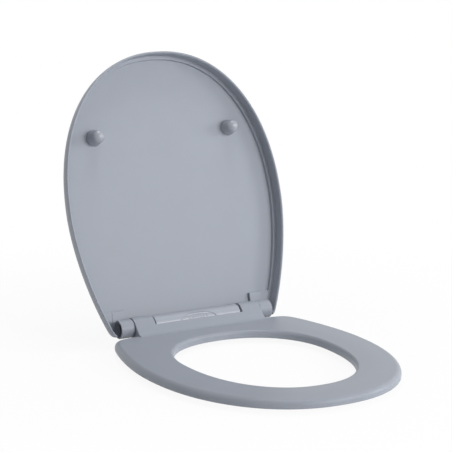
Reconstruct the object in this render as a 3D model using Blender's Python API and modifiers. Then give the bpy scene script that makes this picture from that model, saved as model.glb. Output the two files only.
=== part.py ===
"""Toilet seat and lid in grey moulded plastic, on a one button quick release hinge bar.

Lengths are in metres. X runs along the hinge, +Y points to the cistern and +Z is up.
The origin is on the rim of the bowl, under the middle of the hinge axis.
The ring lies down and the lid leans back, as the seat stands when it is ready for use.
"""
import math

import bmesh
import bpy
from mathutils import Matrix, Vector

MM = 0.001

# Gaps
GAP = 0.3 * MM
RUNNING_GAP = 0.4 * MM
SIDE_GAP = 0.8 * MM

# Outline of the ring, measured forward of the hinge axis
RING_HALF_WIDTH = 185 * MM
WIDEST_AT = 180.6 * MM
FRONT_REACH = 239.3 * MM
FRONT_POWER = 2.2
REAR_REACH = 334 * MM
CORNER_MARGIN = 5.84 * MM
RING_REAR = 18.5 * MM
RING_CORNER_POWER = 20
LID_CORNER_POWER = 70

# Opening of the ring
OPENING_HALF_WIDTH = 120 * MM
OPENING_CENTRE = 189.4 * MM
OPENING_FRONT = 168.5 * MM
OPENING_REAR = 121.8 * MM
OPENING_POWER = 2.2

# Section of the ring
RING_TOP = 20 * MM
RING_THICKNESS = 13 * MM
RING_CROWN = 0.6 * MM
RING_OUTER_RADIUS = 8 * MM
RING_INNER_RADIUS = 5 * MM
RING_EDGE = 1.8 * MM
RING_WALL = 3.6 * MM
RIB_THICKNESS = 2.6 * MM
RIB_HEIGHT = 5.5 * MM
RIB_ANGLES = (8, 38, 82, 98, 142, 172)

# Seat buffers
BUFFER_ANGLES = (-12, 192, 58, 122)
BUFFER_RADIUS = 10 * MM
BUFFER_PEG_RADIUS = 5 * MM
BUFFER_PEG_LENGTH = 5.5 * MM
SOCKET_WALL = 4 * MM

# Lid, measured up from its rim when it is shut
LID_OPEN_ANGLE = math.radians(107.4)
LID_OVERHANG = 2 * MM
LID_GAP = 1.6 * MM
LID_REAR = 12 * MM
LID_DEPTH = 28.2 * MM
LID_CROWN = 1.2 * MM
LID_SHOULDER = 20 * MM
LID_SHOULDER_POWER = 3
LID_WALL = 3.6 * MM
PANEL_DEPTH = 23 * MM
PANEL_LEDGE = 18.3 * MM
PANEL_STEP_AT = 7.3 * MM
LID_NOTCH_DEPTH = 22.8 * MM

# Lid buffers
LID_BUFFER_ANGLE = 40
LID_BUFFER_INWARD = 13.6 * MM
LID_BUFFER_RADIUS = 12.8 * MM
LID_BUFFER_TIP_RADIUS = 5 * MM
LID_BUFFER_CLEARANCE = 0.5 * MM
LID_PEG_RADIUS = 4 * MM
LID_PEG_LENGTH = 8 * MM

# Hinge
AXIS_HEIGHT = 26.4 * MM
BAR_HALF_LENGTH = 74.6 * MM
BAR_RADIUS = 14 * MM
BAR_WALL = 2.2 * MM
BAR_END_WALL = 3 * MM
BAR_SLIT = 2.2 * MM
SEAT_KNUCKLE_RADIUS = 15.4 * MM
SEAT_KNUCKLE_LENGTH = 33.8 * MM
RAMP_FOOT = 28 * MM
RAMP_MARGIN = 0.7 * MM
LID_KNUCKLE_RADIUS = 14.2 * MM
LID_KNUCKLE_LENGTH = 21.8 * MM
LID_BORE_RADIUS = 12.2 * MM
LID_PLATE_LENGTH = 29 * MM
LID_PLATE_LEVEL = 18 * MM
LID_NOTCH_MARGIN = 4.8 * MM

# Soft close dampers
CASE_RADIUS = 8 * MM
CASE_FLAT = 6.6 * MM
CASE_HEAD_LENGTH = 8 * MM
CASE_HEAD_FLAT = 9.6 * MM
KNUCKLE_END_WALL = 5.2 * MM
SHAFT_RADIUS = 4 * MM
SHAFT_FLAT = 2.9 * MM
SHAFT_SOCKET_LENGTH = 7.4 * MM
SHAFT_REACH = 20 * MM
SOCKET_RADIUS = 7 * MM

# Hinge base and fixings
HOUSING_FOOT = 6.9 * MM
BASE_THICKNESS = 3.6 * MM
FOOT_INSET = 12 * MM
FOOT_HALF_WIDTH = 9 * MM
POST_INSET = 16.6 * MM
BOLT_OFFSET = 19.5 * MM
POST_RADIUS = 5 * MM
POST_NECK_RADIUS = 3.2 * MM
POST_NECK_LENGTH = 3.5 * MM
POST_HEAD_RADIUS = 4.6 * MM
POST_HEAD_LENGTH = 3.1 * MM
POST_FLANGE_RADIUS = 7.5 * MM
POST_FLANGE_THICKNESS = 1.7 * MM
SLEEVE_RADIUS = 8 * MM
PLATE_RADIUS = 20 * MM
PLATE_THICKNESS = 4.3 * MM
GASKET_THICKNESS = 1.6 * MM
GASKET_MARGIN = 1 * MM
BOLT_HOLE_RADIUS = 3.4 * MM

# Latches and button
LATCH_LEVEL = 13 * MM
LATCH_THICKNESS = 2.2 * MM
LATCH_HALF_WIDTH = 7.5 * MM
LATCH_WAIST = 4.4 * MM
LATCH_TRAVEL = 5 * MM
LATCH_END_MARGIN = 5.6 * MM
BUTTON_ANGLE = math.radians(55)
BUTTON_STROKE = 3.5 * MM
BUTTON_INSET = 6 * MM
BUTTON_HEIGHT = 12 * MM
BUTTON_FOOT = -6.3 * MM
BUTTON_PROUD = 0.5 * MM
BUTTON_LIP = 1.5 * MM
BUTTON_SHELL = 1.6 * MM
WEDGE_INSET = 8 * MM
WEDGE_DEPTH = 11.2 * MM
WEDGE_NEAR = -4 * MM
WEDGE_FAR = -9 * MM
STEM_HALF_WIDTH = 10 * MM
SPRING_RADIUS = 2.5 * MM
SPRING_WIRE = 0.25 * MM
SPRING_TURNS = 4

# Housing screws
SCREW_INSET = 20 * MM
SCREW_ROW = 8.5 * MM
SCREW_RADIUS = 1.4 * MM
SCREW_HEAD_RADIUS = 2.8 * MM
SCREW_HEAD_THICKNESS = 1.5 * MM
SCREW_LENGTH = 11 * MM
SCREW_BOSS_RADIUS = 2.9 * MM

# Worked out from the sizes above
RING_BOTTOM = RING_TOP - RING_THICKNESS
RING_CEILING = RING_TOP - RING_WALL - RING_CROWN
LID_RIM = RING_TOP + LID_GAP
AXIS = Vector((0, 0, AXIS_HEIGHT))
SEAT_KNUCKLE_START = BAR_HALF_LENGTH + BAR_SLIT
SEAT_KNUCKLE_END = SEAT_KNUCKLE_START + SEAT_KNUCKLE_LENGTH
RAMP_REAR = BAR_RADIUS + RAMP_MARGIN
LID_KNUCKLE_START = SEAT_KNUCKLE_END + SIDE_GAP
LID_KNUCKLE_END = LID_KNUCKLE_START + LID_KNUCKLE_LENGTH
LID_NOTCH_HALF_WIDTH = LID_KNUCKLE_END + LID_NOTCH_MARGIN
BAR_INNER_RADIUS = BAR_RADIUS - BAR_WALL
BAR_INNER_END = BAR_HALF_LENGTH - BAR_END_WALL
SHAFT_START = BAR_INNER_END - SHAFT_SOCKET_LENGTH
POST_AT = BAR_HALF_LENGTH - POST_INSET
BOLT_AT = POST_AT + BOLT_OFFSET
LATCH_END = POST_AT + LATCH_END_MARGIN
SCREW_AT = (POST_AT - SCREW_INSET, SCREW_ROW)
FOOT_HALF_LENGTH = SCREW_AT[0] - FOOT_INSET
BUTTON_HALF_LENGTH = SCREW_AT[0] - BUTTON_INSET
WEDGE_HALF_WIDTH = BUTTON_HALF_LENGTH - WEDGE_INSET
CASE_START = BAR_HALF_LENGTH + RUNNING_GAP
CASE_HEAD_START = LID_KNUCKLE_START + KNUCKLE_END_WALL + GAP
BASE_BOTTOM = HOUSING_FOOT - GAP
BASE_TOP = BASE_BOTTOM + BASE_THICKNESS
PLATE_BOTTOM = GASKET_THICKNESS + GAP
PLATE_TOP = PLATE_BOTTOM + PLATE_THICKNESS
PLATE_AT = (POST_AT + BOLT_AT) / 2
POST_SHOULDER = LATCH_LEVEL - GAP
WEDGE_SLOPE = LATCH_TRAVEL / BUTTON_STROKE

# Frames: a side profile drawn as (y, z) and run along X, and the button with its own Z pointing out
SIDE_VIEW = Matrix(((0, 0, 1, 0), (1, 0, 0, 0), (0, 1, 0, 0), (0, 0, 0, 1)))
BUTTON_FRAME = Matrix.Translation(AXIS) @ Matrix.Rotation(BUTTON_ANGLE, 4, "X")

SIDES = (("left", -1), ("right", 1))


def clear_scene():
    for old in list(bpy.data.objects):
        bpy.data.objects.remove(old)


def make_collection(name):
    collection = bpy.data.collections.new(name)
    bpy.context.scene.collection.children.link(collection)
    return collection


def plastic(name, colour, roughness, metallic=0.0):
    """A plain Principled material."""
    material = bpy.data.materials.new(name)
    material.use_nodes = True
    shader = material.node_tree.nodes["Principled BSDF"]
    shader.inputs["Base Color"].default_value = (*colour, 1)
    shader.inputs["Roughness"].default_value = roughness
    shader.inputs["Metallic"].default_value = metallic
    material.diffuse_color = (*colour, 1)
    return material


def blank(mesh_data):
    """Wraps a bmesh or a curve in a work object."""
    if isinstance(mesh_data, bmesh.types.BMesh):
        mesh = bpy.data.meshes.new("blank")
        mesh_data.to_mesh(mesh)
        mesh_data.free()
    else:
        mesh = mesh_data
    item = bpy.data.objects.new("blank", mesh)
    workshop.objects.link(item)
    return item


def bake(item):
    """Turns an object's modifiers or curve into a plain welded mesh."""
    graph = bpy.context.evaluated_depsgraph_get()
    mesh = bpy.data.meshes.new_from_object(item.evaluated_get(graph))
    work = bmesh.new()
    work.from_mesh(mesh)
    bmesh.ops.remove_doubles(work, verts=work.verts, dist=0.001 * MM)
    work.to_mesh(mesh)
    work.free()
    baked = bpy.data.objects.new("blank", mesh)
    baked.matrix_world = item.matrix_world
    workshop.objects.link(baked)
    bpy.data.objects.remove(item)
    return baked


def combine(item, tool, operation):
    modifier = item.modifiers.new("Boolean", "BOOLEAN")
    modifier.object = tool
    modifier.operation = operation
    modifier.solver = "EXACT"
    result = bake(item)
    bpy.data.objects.remove(tool)
    return result


def add(item, tool):
    return combine(item, tool, "UNION")


def cut(item, tool):
    return combine(item, tool, "DIFFERENCE")


def trim(item, tool):
    return combine(item, tool, "INTERSECT")


def soften(item, width, angle=40, segments=2):
    """Rounds the sharp edges."""
    bevel = item.modifiers.new("Bevel", "BEVEL")
    bevel.width = width
    bevel.segments = segments
    bevel.limit_method = "ANGLE"
    bevel.angle_limit = math.radians(angle)
    return bake(item)


def move(item, matrix):
    item.data.transform(matrix)
    return item


def box(x, y, z):
    """A block between two values on each axis."""
    centre = Vector(((x[0] + x[1]) / 2, (y[0] + y[1]) / 2, (z[0] + z[1]) / 2))
    size = (abs(x[1] - x[0]), abs(y[1] - y[0]), abs(z[1] - z[0]), 1)
    work = bmesh.new()
    bmesh.ops.create_cube(work, size=1, matrix=Matrix.Translation(centre) @ Matrix.Diagonal(size))
    return blank(work)


def rod(start, end, radius, sides=40):
    """A round bar between two points."""
    start, end = Vector(start), Vector(end)
    turn = (end - start).to_track_quat("Z", "Y").to_matrix().to_4x4()
    work = bmesh.new()
    bmesh.ops.create_cone(work, cap_ends=True, segments=sides, radius1=radius, radius2=radius,
                          depth=(end - start).length, matrix=Matrix.Translation((start + end) / 2) @ turn)
    return blank(work)


def rod_x(x0, x1, radius, sides=40):
    """A round bar on the hinge axis."""
    return rod((x0, 0, AXIS_HEIGHT), (x1, 0, AXIS_HEIGHT), radius, sides)


def turned(profile, steps=32):
    """A turned solid from (radius, height) points that run down its outer side."""
    mesh = bpy.data.meshes.new("profile")
    points = [(radius, 0, height) for radius, height in profile]
    mesh.from_pydata(points, [(i, i + 1) for i in range(len(points) - 1)], [])
    item = blank(mesh)
    screw = item.modifiers.new("Screw", "SCREW")
    screw.steps = steps
    screw.render_steps = steps
    screw.use_merge_vertices = True
    screw.merge_threshold = 0.01 * MM
    return bake(item)


def prism(points, depth, matrix):
    """A flat outline given a thickness and set in its frame."""
    curve = bpy.data.curves.new("outline", "CURVE")
    curve.dimensions = "2D"
    curve.fill_mode = "BOTH"
    curve.extrude = depth / 2
    spline = curve.splines.new("POLY")
    spline.points.add(len(points) - 1)
    for point, (x, y) in zip(spline.points, points):
        point.co = (x, y, 0, 1)
    spline.use_cyclic_u = True
    return move(bake(blank(curve)), matrix)


def side_prism(points, x0, x1):
    """A (y, z) profile run along X."""
    return prism(points, abs(x1 - x0), Matrix.Translation(((x0 + x1) / 2, 0, 0)) @ SIDE_VIEW)


def loft(loops, closed):
    """A skin over closed loops with equal counts, joined end to end or capped."""
    work = bmesh.new()
    rings = [[work.verts.new(point) for point in loop] for loop in loops]
    pairs = list(zip(rings, rings[1:]))
    if closed:
        pairs.append((rings[-1], rings[0]))
    else:
        work.faces.new(rings[0])
        work.faces.new(rings[-1])
    for first, second in pairs:
        for i in range(len(first)):
            work.faces.new((first[i - 1], first[i], second[i], second[i - 1]))
    bmesh.ops.recalc_face_normals(work, faces=work.faces)
    return blank(work)


def finish(item, name, material, pivot=None):
    """Names a piece, gives it its material and hangs it on its pivot."""
    item.name = name
    item.data.name = name
    item.data.materials.clear()
    item.data.materials.append(material)
    item.data.shade_smooth()
    item.data.set_sharp_from_angle(angle=math.radians(35))
    workshop.objects.unlink(item)
    parts.objects.link(item)
    if pivot is not None:
        item.data.transform(Matrix.Translation(-pivot.location))
        item.parent = pivot
    return item


def make_pivot(name, place, tilt=0.0):
    pivot = bpy.data.objects.new(name, None)
    pivot.location = place
    pivot.rotation_euler = (tilt, 0, 0)
    parts.objects.link(pivot)
    return pivot


def rear_power():
    """Power of the outline's rear curve that takes it past the outer end of the lid knuckles."""
    across = (LID_KNUCKLE_END + CORNER_MARGIN) / RING_HALF_WIDTH
    along = (WIDEST_AT + LID_REAR) / REAR_REACH
    low, high = 1, 6
    for _ in range(40):
        middle = (low + high) / 2
        if across ** middle + along ** middle > 1:
            low = middle
        else:
            high = middle
    return low


REAR_POWER = rear_power()


def outline_angles(corner):
    """Directions from the widest point, closer together round the rear corner."""
    front = [5 * i for i in range(18)]
    side = [-(corner - 14) * i / 5 for i in range(5, 0, -1)]
    bend = [-(corner + step) for step in (14, 8, 4.5, 2.4, 1.1, 0.2, -0.7, -1.8, -3.6, -7)]
    rear = [-(corner + 14 + (76 - corner) * i / 4) for i in range(4, 0, -1)]
    right = rear + bend + side + front
    left = [180 - angle for angle in reversed(right)]
    return [math.radians(angle) for angle in right + [90.0] + left[:-1]]


def body_loop(grow, rear, soft, z, angles):
    """Outline of ring or lid, grown outwards, cut straight at the rear with a soft corner."""
    loop = []
    for angle in angles:
        across, along = math.cos(angle), math.sin(angle)
        reach, power = (FRONT_REACH, FRONT_POWER) if along >= 0 else (REAR_REACH, REAR_POWER)
        shape = abs(across / (RING_HALF_WIDTH + grow)) ** power + abs(along / (reach + grow)) ** power
        radius = shape ** (-1 / power)
        if along < 0:
            straight = (WIDEST_AT - rear + grow) / -along
            radius = (radius ** -soft + straight ** -soft) ** (-1 / soft)
        loop.append(Vector((radius * across, -WIDEST_AT - radius * along, z)))
    return loop


def ring_loop(inset, z):
    return body_loop(-inset, RING_REAR, RING_CORNER_POWER, z, RING_DIRECTIONS)


def opening_loop(inset, z):
    """Outline of the opening, grown outwards into the ring."""
    loop = []
    for angle in RING_DIRECTIONS:
        across, along = math.cos(angle), math.sin(angle)
        reach = OPENING_FRONT if along >= 0 else OPENING_REAR
        shape = abs(across / (OPENING_HALF_WIDTH + inset)) ** OPENING_POWER
        shape += abs(along / (reach + inset)) ** OPENING_POWER
        radius = shape ** (-1 / OPENING_POWER)
        loop.append(Vector((radius * across, -OPENING_CENTRE - radius * along, z)))
    return loop


def lid_loop(inset, depth):
    """Outline of the lid at a depth above its rim, in the shut place."""
    rear = LID_OVERHANG - LID_REAR
    return body_loop(LID_OVERHANG - inset, rear, LID_CORNER_POWER, LID_RIM + depth, LID_DIRECTIONS)


def middle_of(first, second, z):
    return [Vector(((a.x + b.x) / 2, (a.y + b.y) / 2, z)) for a, b in zip(first, second)]


def direction_to(half_width, rear):
    """Direction in degrees from the widest point to the rear corner."""
    return math.degrees(math.atan2(WIDEST_AT - rear, half_width))


def rear_half_width(rear):
    ratio = (WIDEST_AT - rear) / REAR_REACH
    return RING_HALF_WIDTH * (1 - ratio ** REAR_POWER) ** (1 / REAR_POWER)


RING_DIRECTIONS = outline_angles(direction_to(rear_half_width(RING_REAR), RING_REAR))
LID_DIRECTIONS = outline_angles(direction_to(rear_half_width(-LID_REAR), -LID_REAR))


def ring_middle(angle):
    """Point on the middle line of the ring in a direction from its widest point."""
    across, along = math.cos(math.radians(angle)), math.sin(math.radians(angle))
    reach, power = (FRONT_REACH, FRONT_POWER) if along >= 0 else (REAR_REACH, REAR_POWER)
    outer = (abs(across / RING_HALF_WIDTH) ** power + abs(along / reach) ** power) ** (-1 / power)
    reach = OPENING_FRONT if along >= 0 else OPENING_REAR
    inner = (abs(across / OPENING_HALF_WIDTH) ** OPENING_POWER + abs(along / reach) ** OPENING_POWER)
    inner = inner ** (-1 / OPENING_POWER)
    forward = (WIDEST_AT + outer * along + OPENING_CENTRE + inner * along) / 2
    return Vector(((outer + inner) * across / 2, -forward, 0))


def lid_buffer_place():
    """Middle of the right lid buffer, a little inside the middle line of the ring."""
    return ring_middle(LID_BUFFER_ANGLE) - Vector((LID_BUFFER_INWARD, 0, 0))


def ramp_slope():
    """Slope of the line from the ramp's foot that just touches the seat knuckle."""
    rise = AXIS_HEIGHT - RING_TOP
    return math.atan2(rise, RAMP_FOOT) + math.asin(SEAT_KNUCKLE_RADIUS / math.hypot(RAMP_FOOT, rise))


def make_ring():
    """The seat's ring: a moulded section open beneath, with ribs and buffer sockets."""
    quarter = [math.radians(22.5 * i) for i in range(5)]
    outer, inner = RING_OUTER_RADIUS, RING_INNER_RADIUS
    shoulder = RING_TOP - RING_CROWN
    edge = RING_EDGE
    loops = [ring_loop(edge, RING_BOTTOM), ring_loop(edge * 0.3, RING_BOTTOM + edge * 0.3)]
    loops.append(ring_loop(0, RING_BOTTOM + edge))
    loops += [ring_loop(outer * (1 - math.cos(a)), shoulder - outer + outer * math.sin(a)) for a in quarter]
    loops.append(middle_of(ring_loop(0, 0), opening_loop(0, 0), RING_TOP))
    loops += [opening_loop(inner * (1 - math.sin(a)), shoulder - inner + inner * math.cos(a)) for a in quarter]
    loops += [opening_loop(0, RING_BOTTOM + edge), opening_loop(edge, RING_BOTTOM)]
    loops.append(opening_loop(RING_WALL, RING_BOTTOM))
    loops.append(opening_loop(RING_WALL + 1 * MM, RING_CEILING))
    loops.append(ring_loop(RING_WALL + 1 * MM, RING_CEILING))
    loops.append(ring_loop(RING_WALL, RING_BOTTOM))
    return loft(loops, closed=True)


def ring_rib(angle):
    """A rib across the hollow underside."""
    across = math.radians(angle)
    centre = ring_middle(angle)
    length = RING_HALF_WIDTH - OPENING_HALF_WIDTH - 2 * RING_WALL
    z = RING_CEILING - RIB_HEIGHT / 2 + RING_WALL / 4
    place = Matrix.Translation((centre.x, centre.y, z)) @ Matrix.Rotation(-across, 4, "Z")
    size = (length, RIB_THICKNESS, RIB_HEIGHT + RING_WALL / 2, 1)
    work = bmesh.new()
    bmesh.ops.create_cube(work, size=1, matrix=place @ Matrix.Diagonal(size))
    return blank(work)


def ramp_profile(rear, low):
    """Side profile of the ramp that rises from the ring and ends just short of the bar."""
    top = RING_TOP + math.tan(ramp_slope()) * (RAMP_FOOT - RAMP_REAR)
    return [(-RAMP_FOOT, RING_TOP), (-RAMP_REAR, top), (-rear, low), (-RAMP_FOOT + RING_WALL, low)]


def knuckle_profile(rear, low):
    """Side profile of a seat knuckle: round over the axis, and sloped down to the ring at the front."""
    radius = SEAT_KNUCKLE_RADIUS
    start, stop = ramp_slope() + math.pi / 2, math.radians(-115)
    turns = [start + (stop - start) * i / 26 for i in range(27)]
    points = [(radius * math.cos(a), AXIS_HEIGHT + radius * math.sin(a)) for a in turns]
    return points + [(-rear, low), (-RAMP_FOOT + RING_WALL, low), (-RAMP_FOOT, RING_TOP)]


def make_seat():
    """Ring, ramp and knuckles, moulded in one piece."""
    seat = make_ring()
    rear = RING_REAR - GAP
    low = RING_CEILING + RING_CROWN
    ramp = side_prism(ramp_profile(rear, low), -SEAT_KNUCKLE_START, SEAT_KNUCKLE_START)
    seat = add(seat, soften(ramp, 0.8 * MM))
    profile = knuckle_profile(rear, low)
    for side, sign in SIDES:
        start, end = sign * SEAT_KNUCKLE_START, sign * SEAT_KNUCKLE_END
        seat = add(seat, soften(side_prism(profile, start, end), 0.8 * MM))
        bore = rod_x(start - sign * MM, end + sign * MM, CASE_RADIUS + RUNNING_GAP)
        if side == "right":
            keep = CASE_FLAT + GAP
            reach = (AXIS_HEIGHT - keep, AXIS_HEIGHT + keep)
            bore = trim(bore, box((0, 2 * end), (-BAR_RADIUS, BAR_RADIUS), reach))
        seat = cut(seat, bore)
    for angle in RIB_ANGLES:
        seat = add(seat, ring_rib(angle))
    for angle in BUFFER_ANGLES:
        place = ring_middle(angle)
        socket_low = place + Vector((0, 0, RING_BOTTOM))
        socket_top = place + Vector((0, 0, RING_CEILING + RING_WALL / 2))
        seat = add(seat, rod(socket_low, socket_top, BUFFER_PEG_RADIUS + SOCKET_WALL, 24))
        hole_top = place + Vector((0, 0, RING_BOTTOM + BUFFER_PEG_LENGTH + 2 * GAP))
        seat = cut(seat, rod(place, hole_top, BUFFER_PEG_RADIUS + GAP, 24))
    return seat


def seat_buffer(angle):
    """A rubber foot with a peg that pushes into its socket."""
    top = RING_BOTTOM - GAP
    profile = [(0, top + BUFFER_PEG_LENGTH), (BUFFER_PEG_RADIUS - MM, top + BUFFER_PEG_LENGTH),
               (BUFFER_PEG_RADIUS, top + BUFFER_PEG_LENGTH - MM), (BUFFER_PEG_RADIUS, top),
               (BUFFER_RADIUS - 0.6 * MM, top), (BUFFER_RADIUS, top - 0.6 * MM),
               (BUFFER_RADIUS, 2 * MM), (BUFFER_RADIUS - 2 * MM, 0), (0, 0)]
    return move(turned(profile, 20), Matrix.Translation(ring_middle(angle)))


def lid_shoulder(share):
    """Inset and depth on the rounded side of the lid, from rim (0) to top (1)."""
    turn = share * math.pi / 2
    inset = LID_SHOULDER * (1 - math.cos(turn) ** (2 / LID_SHOULDER_POWER))
    return inset, LID_DEPTH * math.sin(turn) ** (2 / LID_SHOULDER_POWER)


def lid_outer_loops(shrink=0.0):
    """Loops over the outside of the lid, from the middle of its top to its rim."""
    loops = [lid_loop(inset + shrink, LID_DEPTH + LID_CROWN * rise - shrink)
             for inset, rise in ((120 * MM, 1), (80 * MM, 0.88), (45 * MM, 0.6))]
    for share in (1, 0.78, 0.56, 0.39, 0.24, 0.11):
        inset, depth = lid_shoulder(share)
        loops.append(lid_loop(inset + shrink, depth - shrink))
    return loops


def make_lid_shell():
    """The lid's thin moulded tray, with a fine step round its inner panel."""
    loops = lid_outer_loops()
    wall, ledge, step = LID_WALL, PANEL_LEDGE, PANEL_STEP_AT
    section = ((0, 1 * MM), (0.5 * MM, 0.2 * MM), (1.1 * MM, 0), (wall - 1.6 * MM, 0.4 * MM),
               (wall - 0.5 * MM, 1.6 * MM), (wall, 3.6 * MM), (wall + 0.1 * MM, ledge - 0.8 * MM),
               (wall + 0.7 * MM, ledge), (step, ledge), (step + 0.3 * MM, ledge + 0.8 * MM),
               (step + 0.6 * MM, PANEL_DEPTH), (60 * MM, PANEL_DEPTH), (120 * MM, PANEL_DEPTH))
    loops += [lid_loop(inset, depth) for inset, depth in section]
    return loft(loops, closed=False)


def bracket_profile():
    """Side profile of a lid knuckle and the raised plate that carries it, in the shut place."""
    radius, front, top = LID_KNUCKLE_RADIUS, -LID_PLATE_LENGTH, LID_RIM + PANEL_DEPTH
    level = LID_RIM + LID_PLATE_LEVEL
    start = math.pi - math.asin((level - AXIS_HEIGHT) / radius)
    turns = [start + (math.radians(420) - start) * i / 24 for i in range(25)]
    points = [(radius * math.cos(a), AXIS_HEIGHT + radius * math.sin(a)) for a in turns]
    return points + [(4 * MM, top), (0, top + 1.5 * MM), (front, top + 1.5 * MM), (front, level)]


def web_profile():
    """Side profile of the plate's outer end, which runs on to the side of the lid, in the shut place."""
    front, level = -LID_PLATE_LENGTH + 0.5 * MM, LID_RIM + LID_PLATE_LEVEL + 0.4 * MM
    top = LID_RIM + PANEL_DEPTH + MM
    return [(front, level), (0, level), (4 * MM, top - 2 * MM), (-MM, top), (front, top)]


def make_lid():
    """Lid with its knuckles and their plates, moulded in one piece, in the shut place."""
    lid = make_lid_shell()
    across = LID_NOTCH_HALF_WIDTH
    lid = cut(lid, box((-across, across), (-3 * MM, LID_REAR + 2 * LID_SHOULDER),
                       (LID_RIM - 2 * MM, LID_RIM + LID_NOTCH_DEPTH)))
    form = lid_outer_loops(1.2 * MM) + [lid_loop(1.2 * MM, -20 * MM)]
    for side, sign in SIDES:
        start, end = sign * LID_KNUCKLE_START, sign * LID_KNUCKLE_END
        bracket = soften(side_prism(bracket_profile(), start, end), 0.8 * MM)
        web = side_prism(web_profile(), end - sign * MM, sign * RING_HALF_WIDTH)
        lid = add(lid, add(bracket, trim(web, loft(form, closed=False))))
    for side, sign in SIDES:
        start, end = sign * LID_KNUCKLE_START, sign * LID_KNUCKLE_END
        recess = rod_x(start + sign * KNUCKLE_END_WALL, end + sign * 5 * MM, LID_BORE_RADIUS)
        if side == "left":
            keep = CASE_HEAD_FLAT + GAP
            reach = (AXIS_HEIGHT - keep, AXIS_HEIGHT + keep)
            key_end = sign * (CASE_HEAD_START + CASE_HEAD_LENGTH + MM)
            key = box((start, key_end), (-BAR_RADIUS, BAR_RADIUS), (AXIS_HEIGHT - BAR_RADIUS, reach[0]))
            recess = cut(recess, key)
            key = box((start, key_end), (-BAR_RADIUS, BAR_RADIUS), (reach[1], AXIS_HEIGHT + BAR_RADIUS))
            recess = cut(recess, key)
        lid = cut(lid, recess)
        lid = cut(lid, rod_x(start - sign * 0.5 * MM, end, CASE_RADIUS + RUNNING_GAP))
        place = lid_buffer_place()
        base = Vector((sign * place.x, place.y, LID_RIM + PANEL_DEPTH + 1.5 * MM))
        lid = add(lid, rod(base, base - Vector((0, 0, LID_PEG_LENGTH + 1.5 * MM)), LID_PEG_RADIUS, 20))
    return lid


def lid_buffer(sign):
    """A tall rubber cone that slips over a peg inside the lid and meets the ring."""
    top = LID_RIM + PANEL_DEPTH - GAP
    tip = RING_TOP + LID_BUFFER_CLEARANCE
    bore = LID_PEG_RADIUS + GAP
    bore_end = top - LID_PEG_LENGTH - GAP
    height = top - tip
    flare = LID_BUFFER_RADIUS - LID_BUFFER_TIP_RADIUS
    profile = [(0, bore_end), (bore, bore_end), (bore, top), (LID_BUFFER_RADIUS - 0.5 * MM, top),
               (LID_BUFFER_RADIUS, top - 0.6 * MM)]
    for share in (0.2, 0.4, 0.6, 0.8, 0.92):
        radius = LID_BUFFER_TIP_RADIUS + flare * (1 - share ** 2.2)
        profile.append((radius, top - share * height))
    profile += [(LID_BUFFER_TIP_RADIUS - 1.4 * MM, tip), (0, tip)]
    place = lid_buffer_place()
    return move(turned(profile, 24), Matrix.Translation((sign * place.x, place.y, 0)))


def bar_section(radius, low):
    """Side profile of the hinge bar: round over the axis, straight below it."""
    arc = [math.radians(9 * i) for i in range(21)]
    points = [(radius * math.cos(a), AXIS_HEIGHT + radius * math.sin(a)) for a in arc]
    return points + [(-radius, low), (radius, low)]


def button_outline(grow):
    """Half oval of the push button, drawn in its own frame."""
    arc = [math.radians(10 * i) for i in range(19)]
    half, height = BUTTON_HALF_LENGTH + grow, BUTTON_HEIGHT + 2 * grow
    return [(half * math.cos(a), BUTTON_FOOT - grow + height * math.sin(a)) for a in arc]


def button_prism(grow, near, far):
    """The half oval run along the way the button is pressed, between two depths."""
    place = BUTTON_FRAME @ Matrix.Translation((0, 0, (near + far) / 2))
    return prism(button_outline(grow), abs(far - near), place)


def wedge(grow, near, far, q0, q1):
    """The button's wedge, narrower as it goes deeper, between two depths."""
    def half(depth):
        return max(WEDGE_HALF_WIDTH - WEDGE_SLOPE * depth + grow, 0.2 * MM)
    points = [(-half(near), -near), (half(near), -near), (half(far), -far), (-half(far), -far)]
    turn = Matrix.Rotation(math.radians(90), 4, "X")
    place = BUTTON_FRAME @ Matrix.Translation((0, (q0 + q1) / 2, 0)) @ turn
    return prism(points, abs(q1 - q0), place)


def button_block(x, q, depth):
    """A block in the button's frame, with depth counted inwards."""
    return move(box((-x, x), q, (-depth[0], -depth[1])), BUTTON_FRAME)


def make_button():
    """Curved cap flush with the bar, a lip that holds it in, and a wedge that works the latches."""
    cap = trim(rod_x(-BAR_HALF_LENGTH, BAR_HALF_LENGTH, BAR_RADIUS + BUTTON_PROUD, 80),
               button_prism(0, 4 * MM, 30 * MM))
    lip = trim(rod_x(-BAR_HALF_LENGTH, BAR_HALF_LENGTH, BAR_INNER_RADIUS - GAP, 80),
               button_prism(BUTTON_LIP, 3 * MM, 30 * MM))
    cap = add(cap, lip)
    hollow = BAR_INNER_RADIUS - GAP - BUTTON_SHELL
    cap = cut(cap, rod_x(-BAR_HALF_LENGTH, BAR_HALF_LENGTH, hollow, 80))
    stem = button_block(STEM_HALF_WIDTH, (-3.5 * MM, 3.5 * MM), (-hollow - 0.5 * MM, 0))
    stem = add(stem, button_block(STEM_HALF_WIDTH, (WEDGE_FAR + MM, 3 * MM), (-6 * MM, MM)))
    return add(cap, add(stem, wedge(0, 0, WEDGE_DEPTH, WEDGE_FAR, WEDGE_NEAR)))


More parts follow.
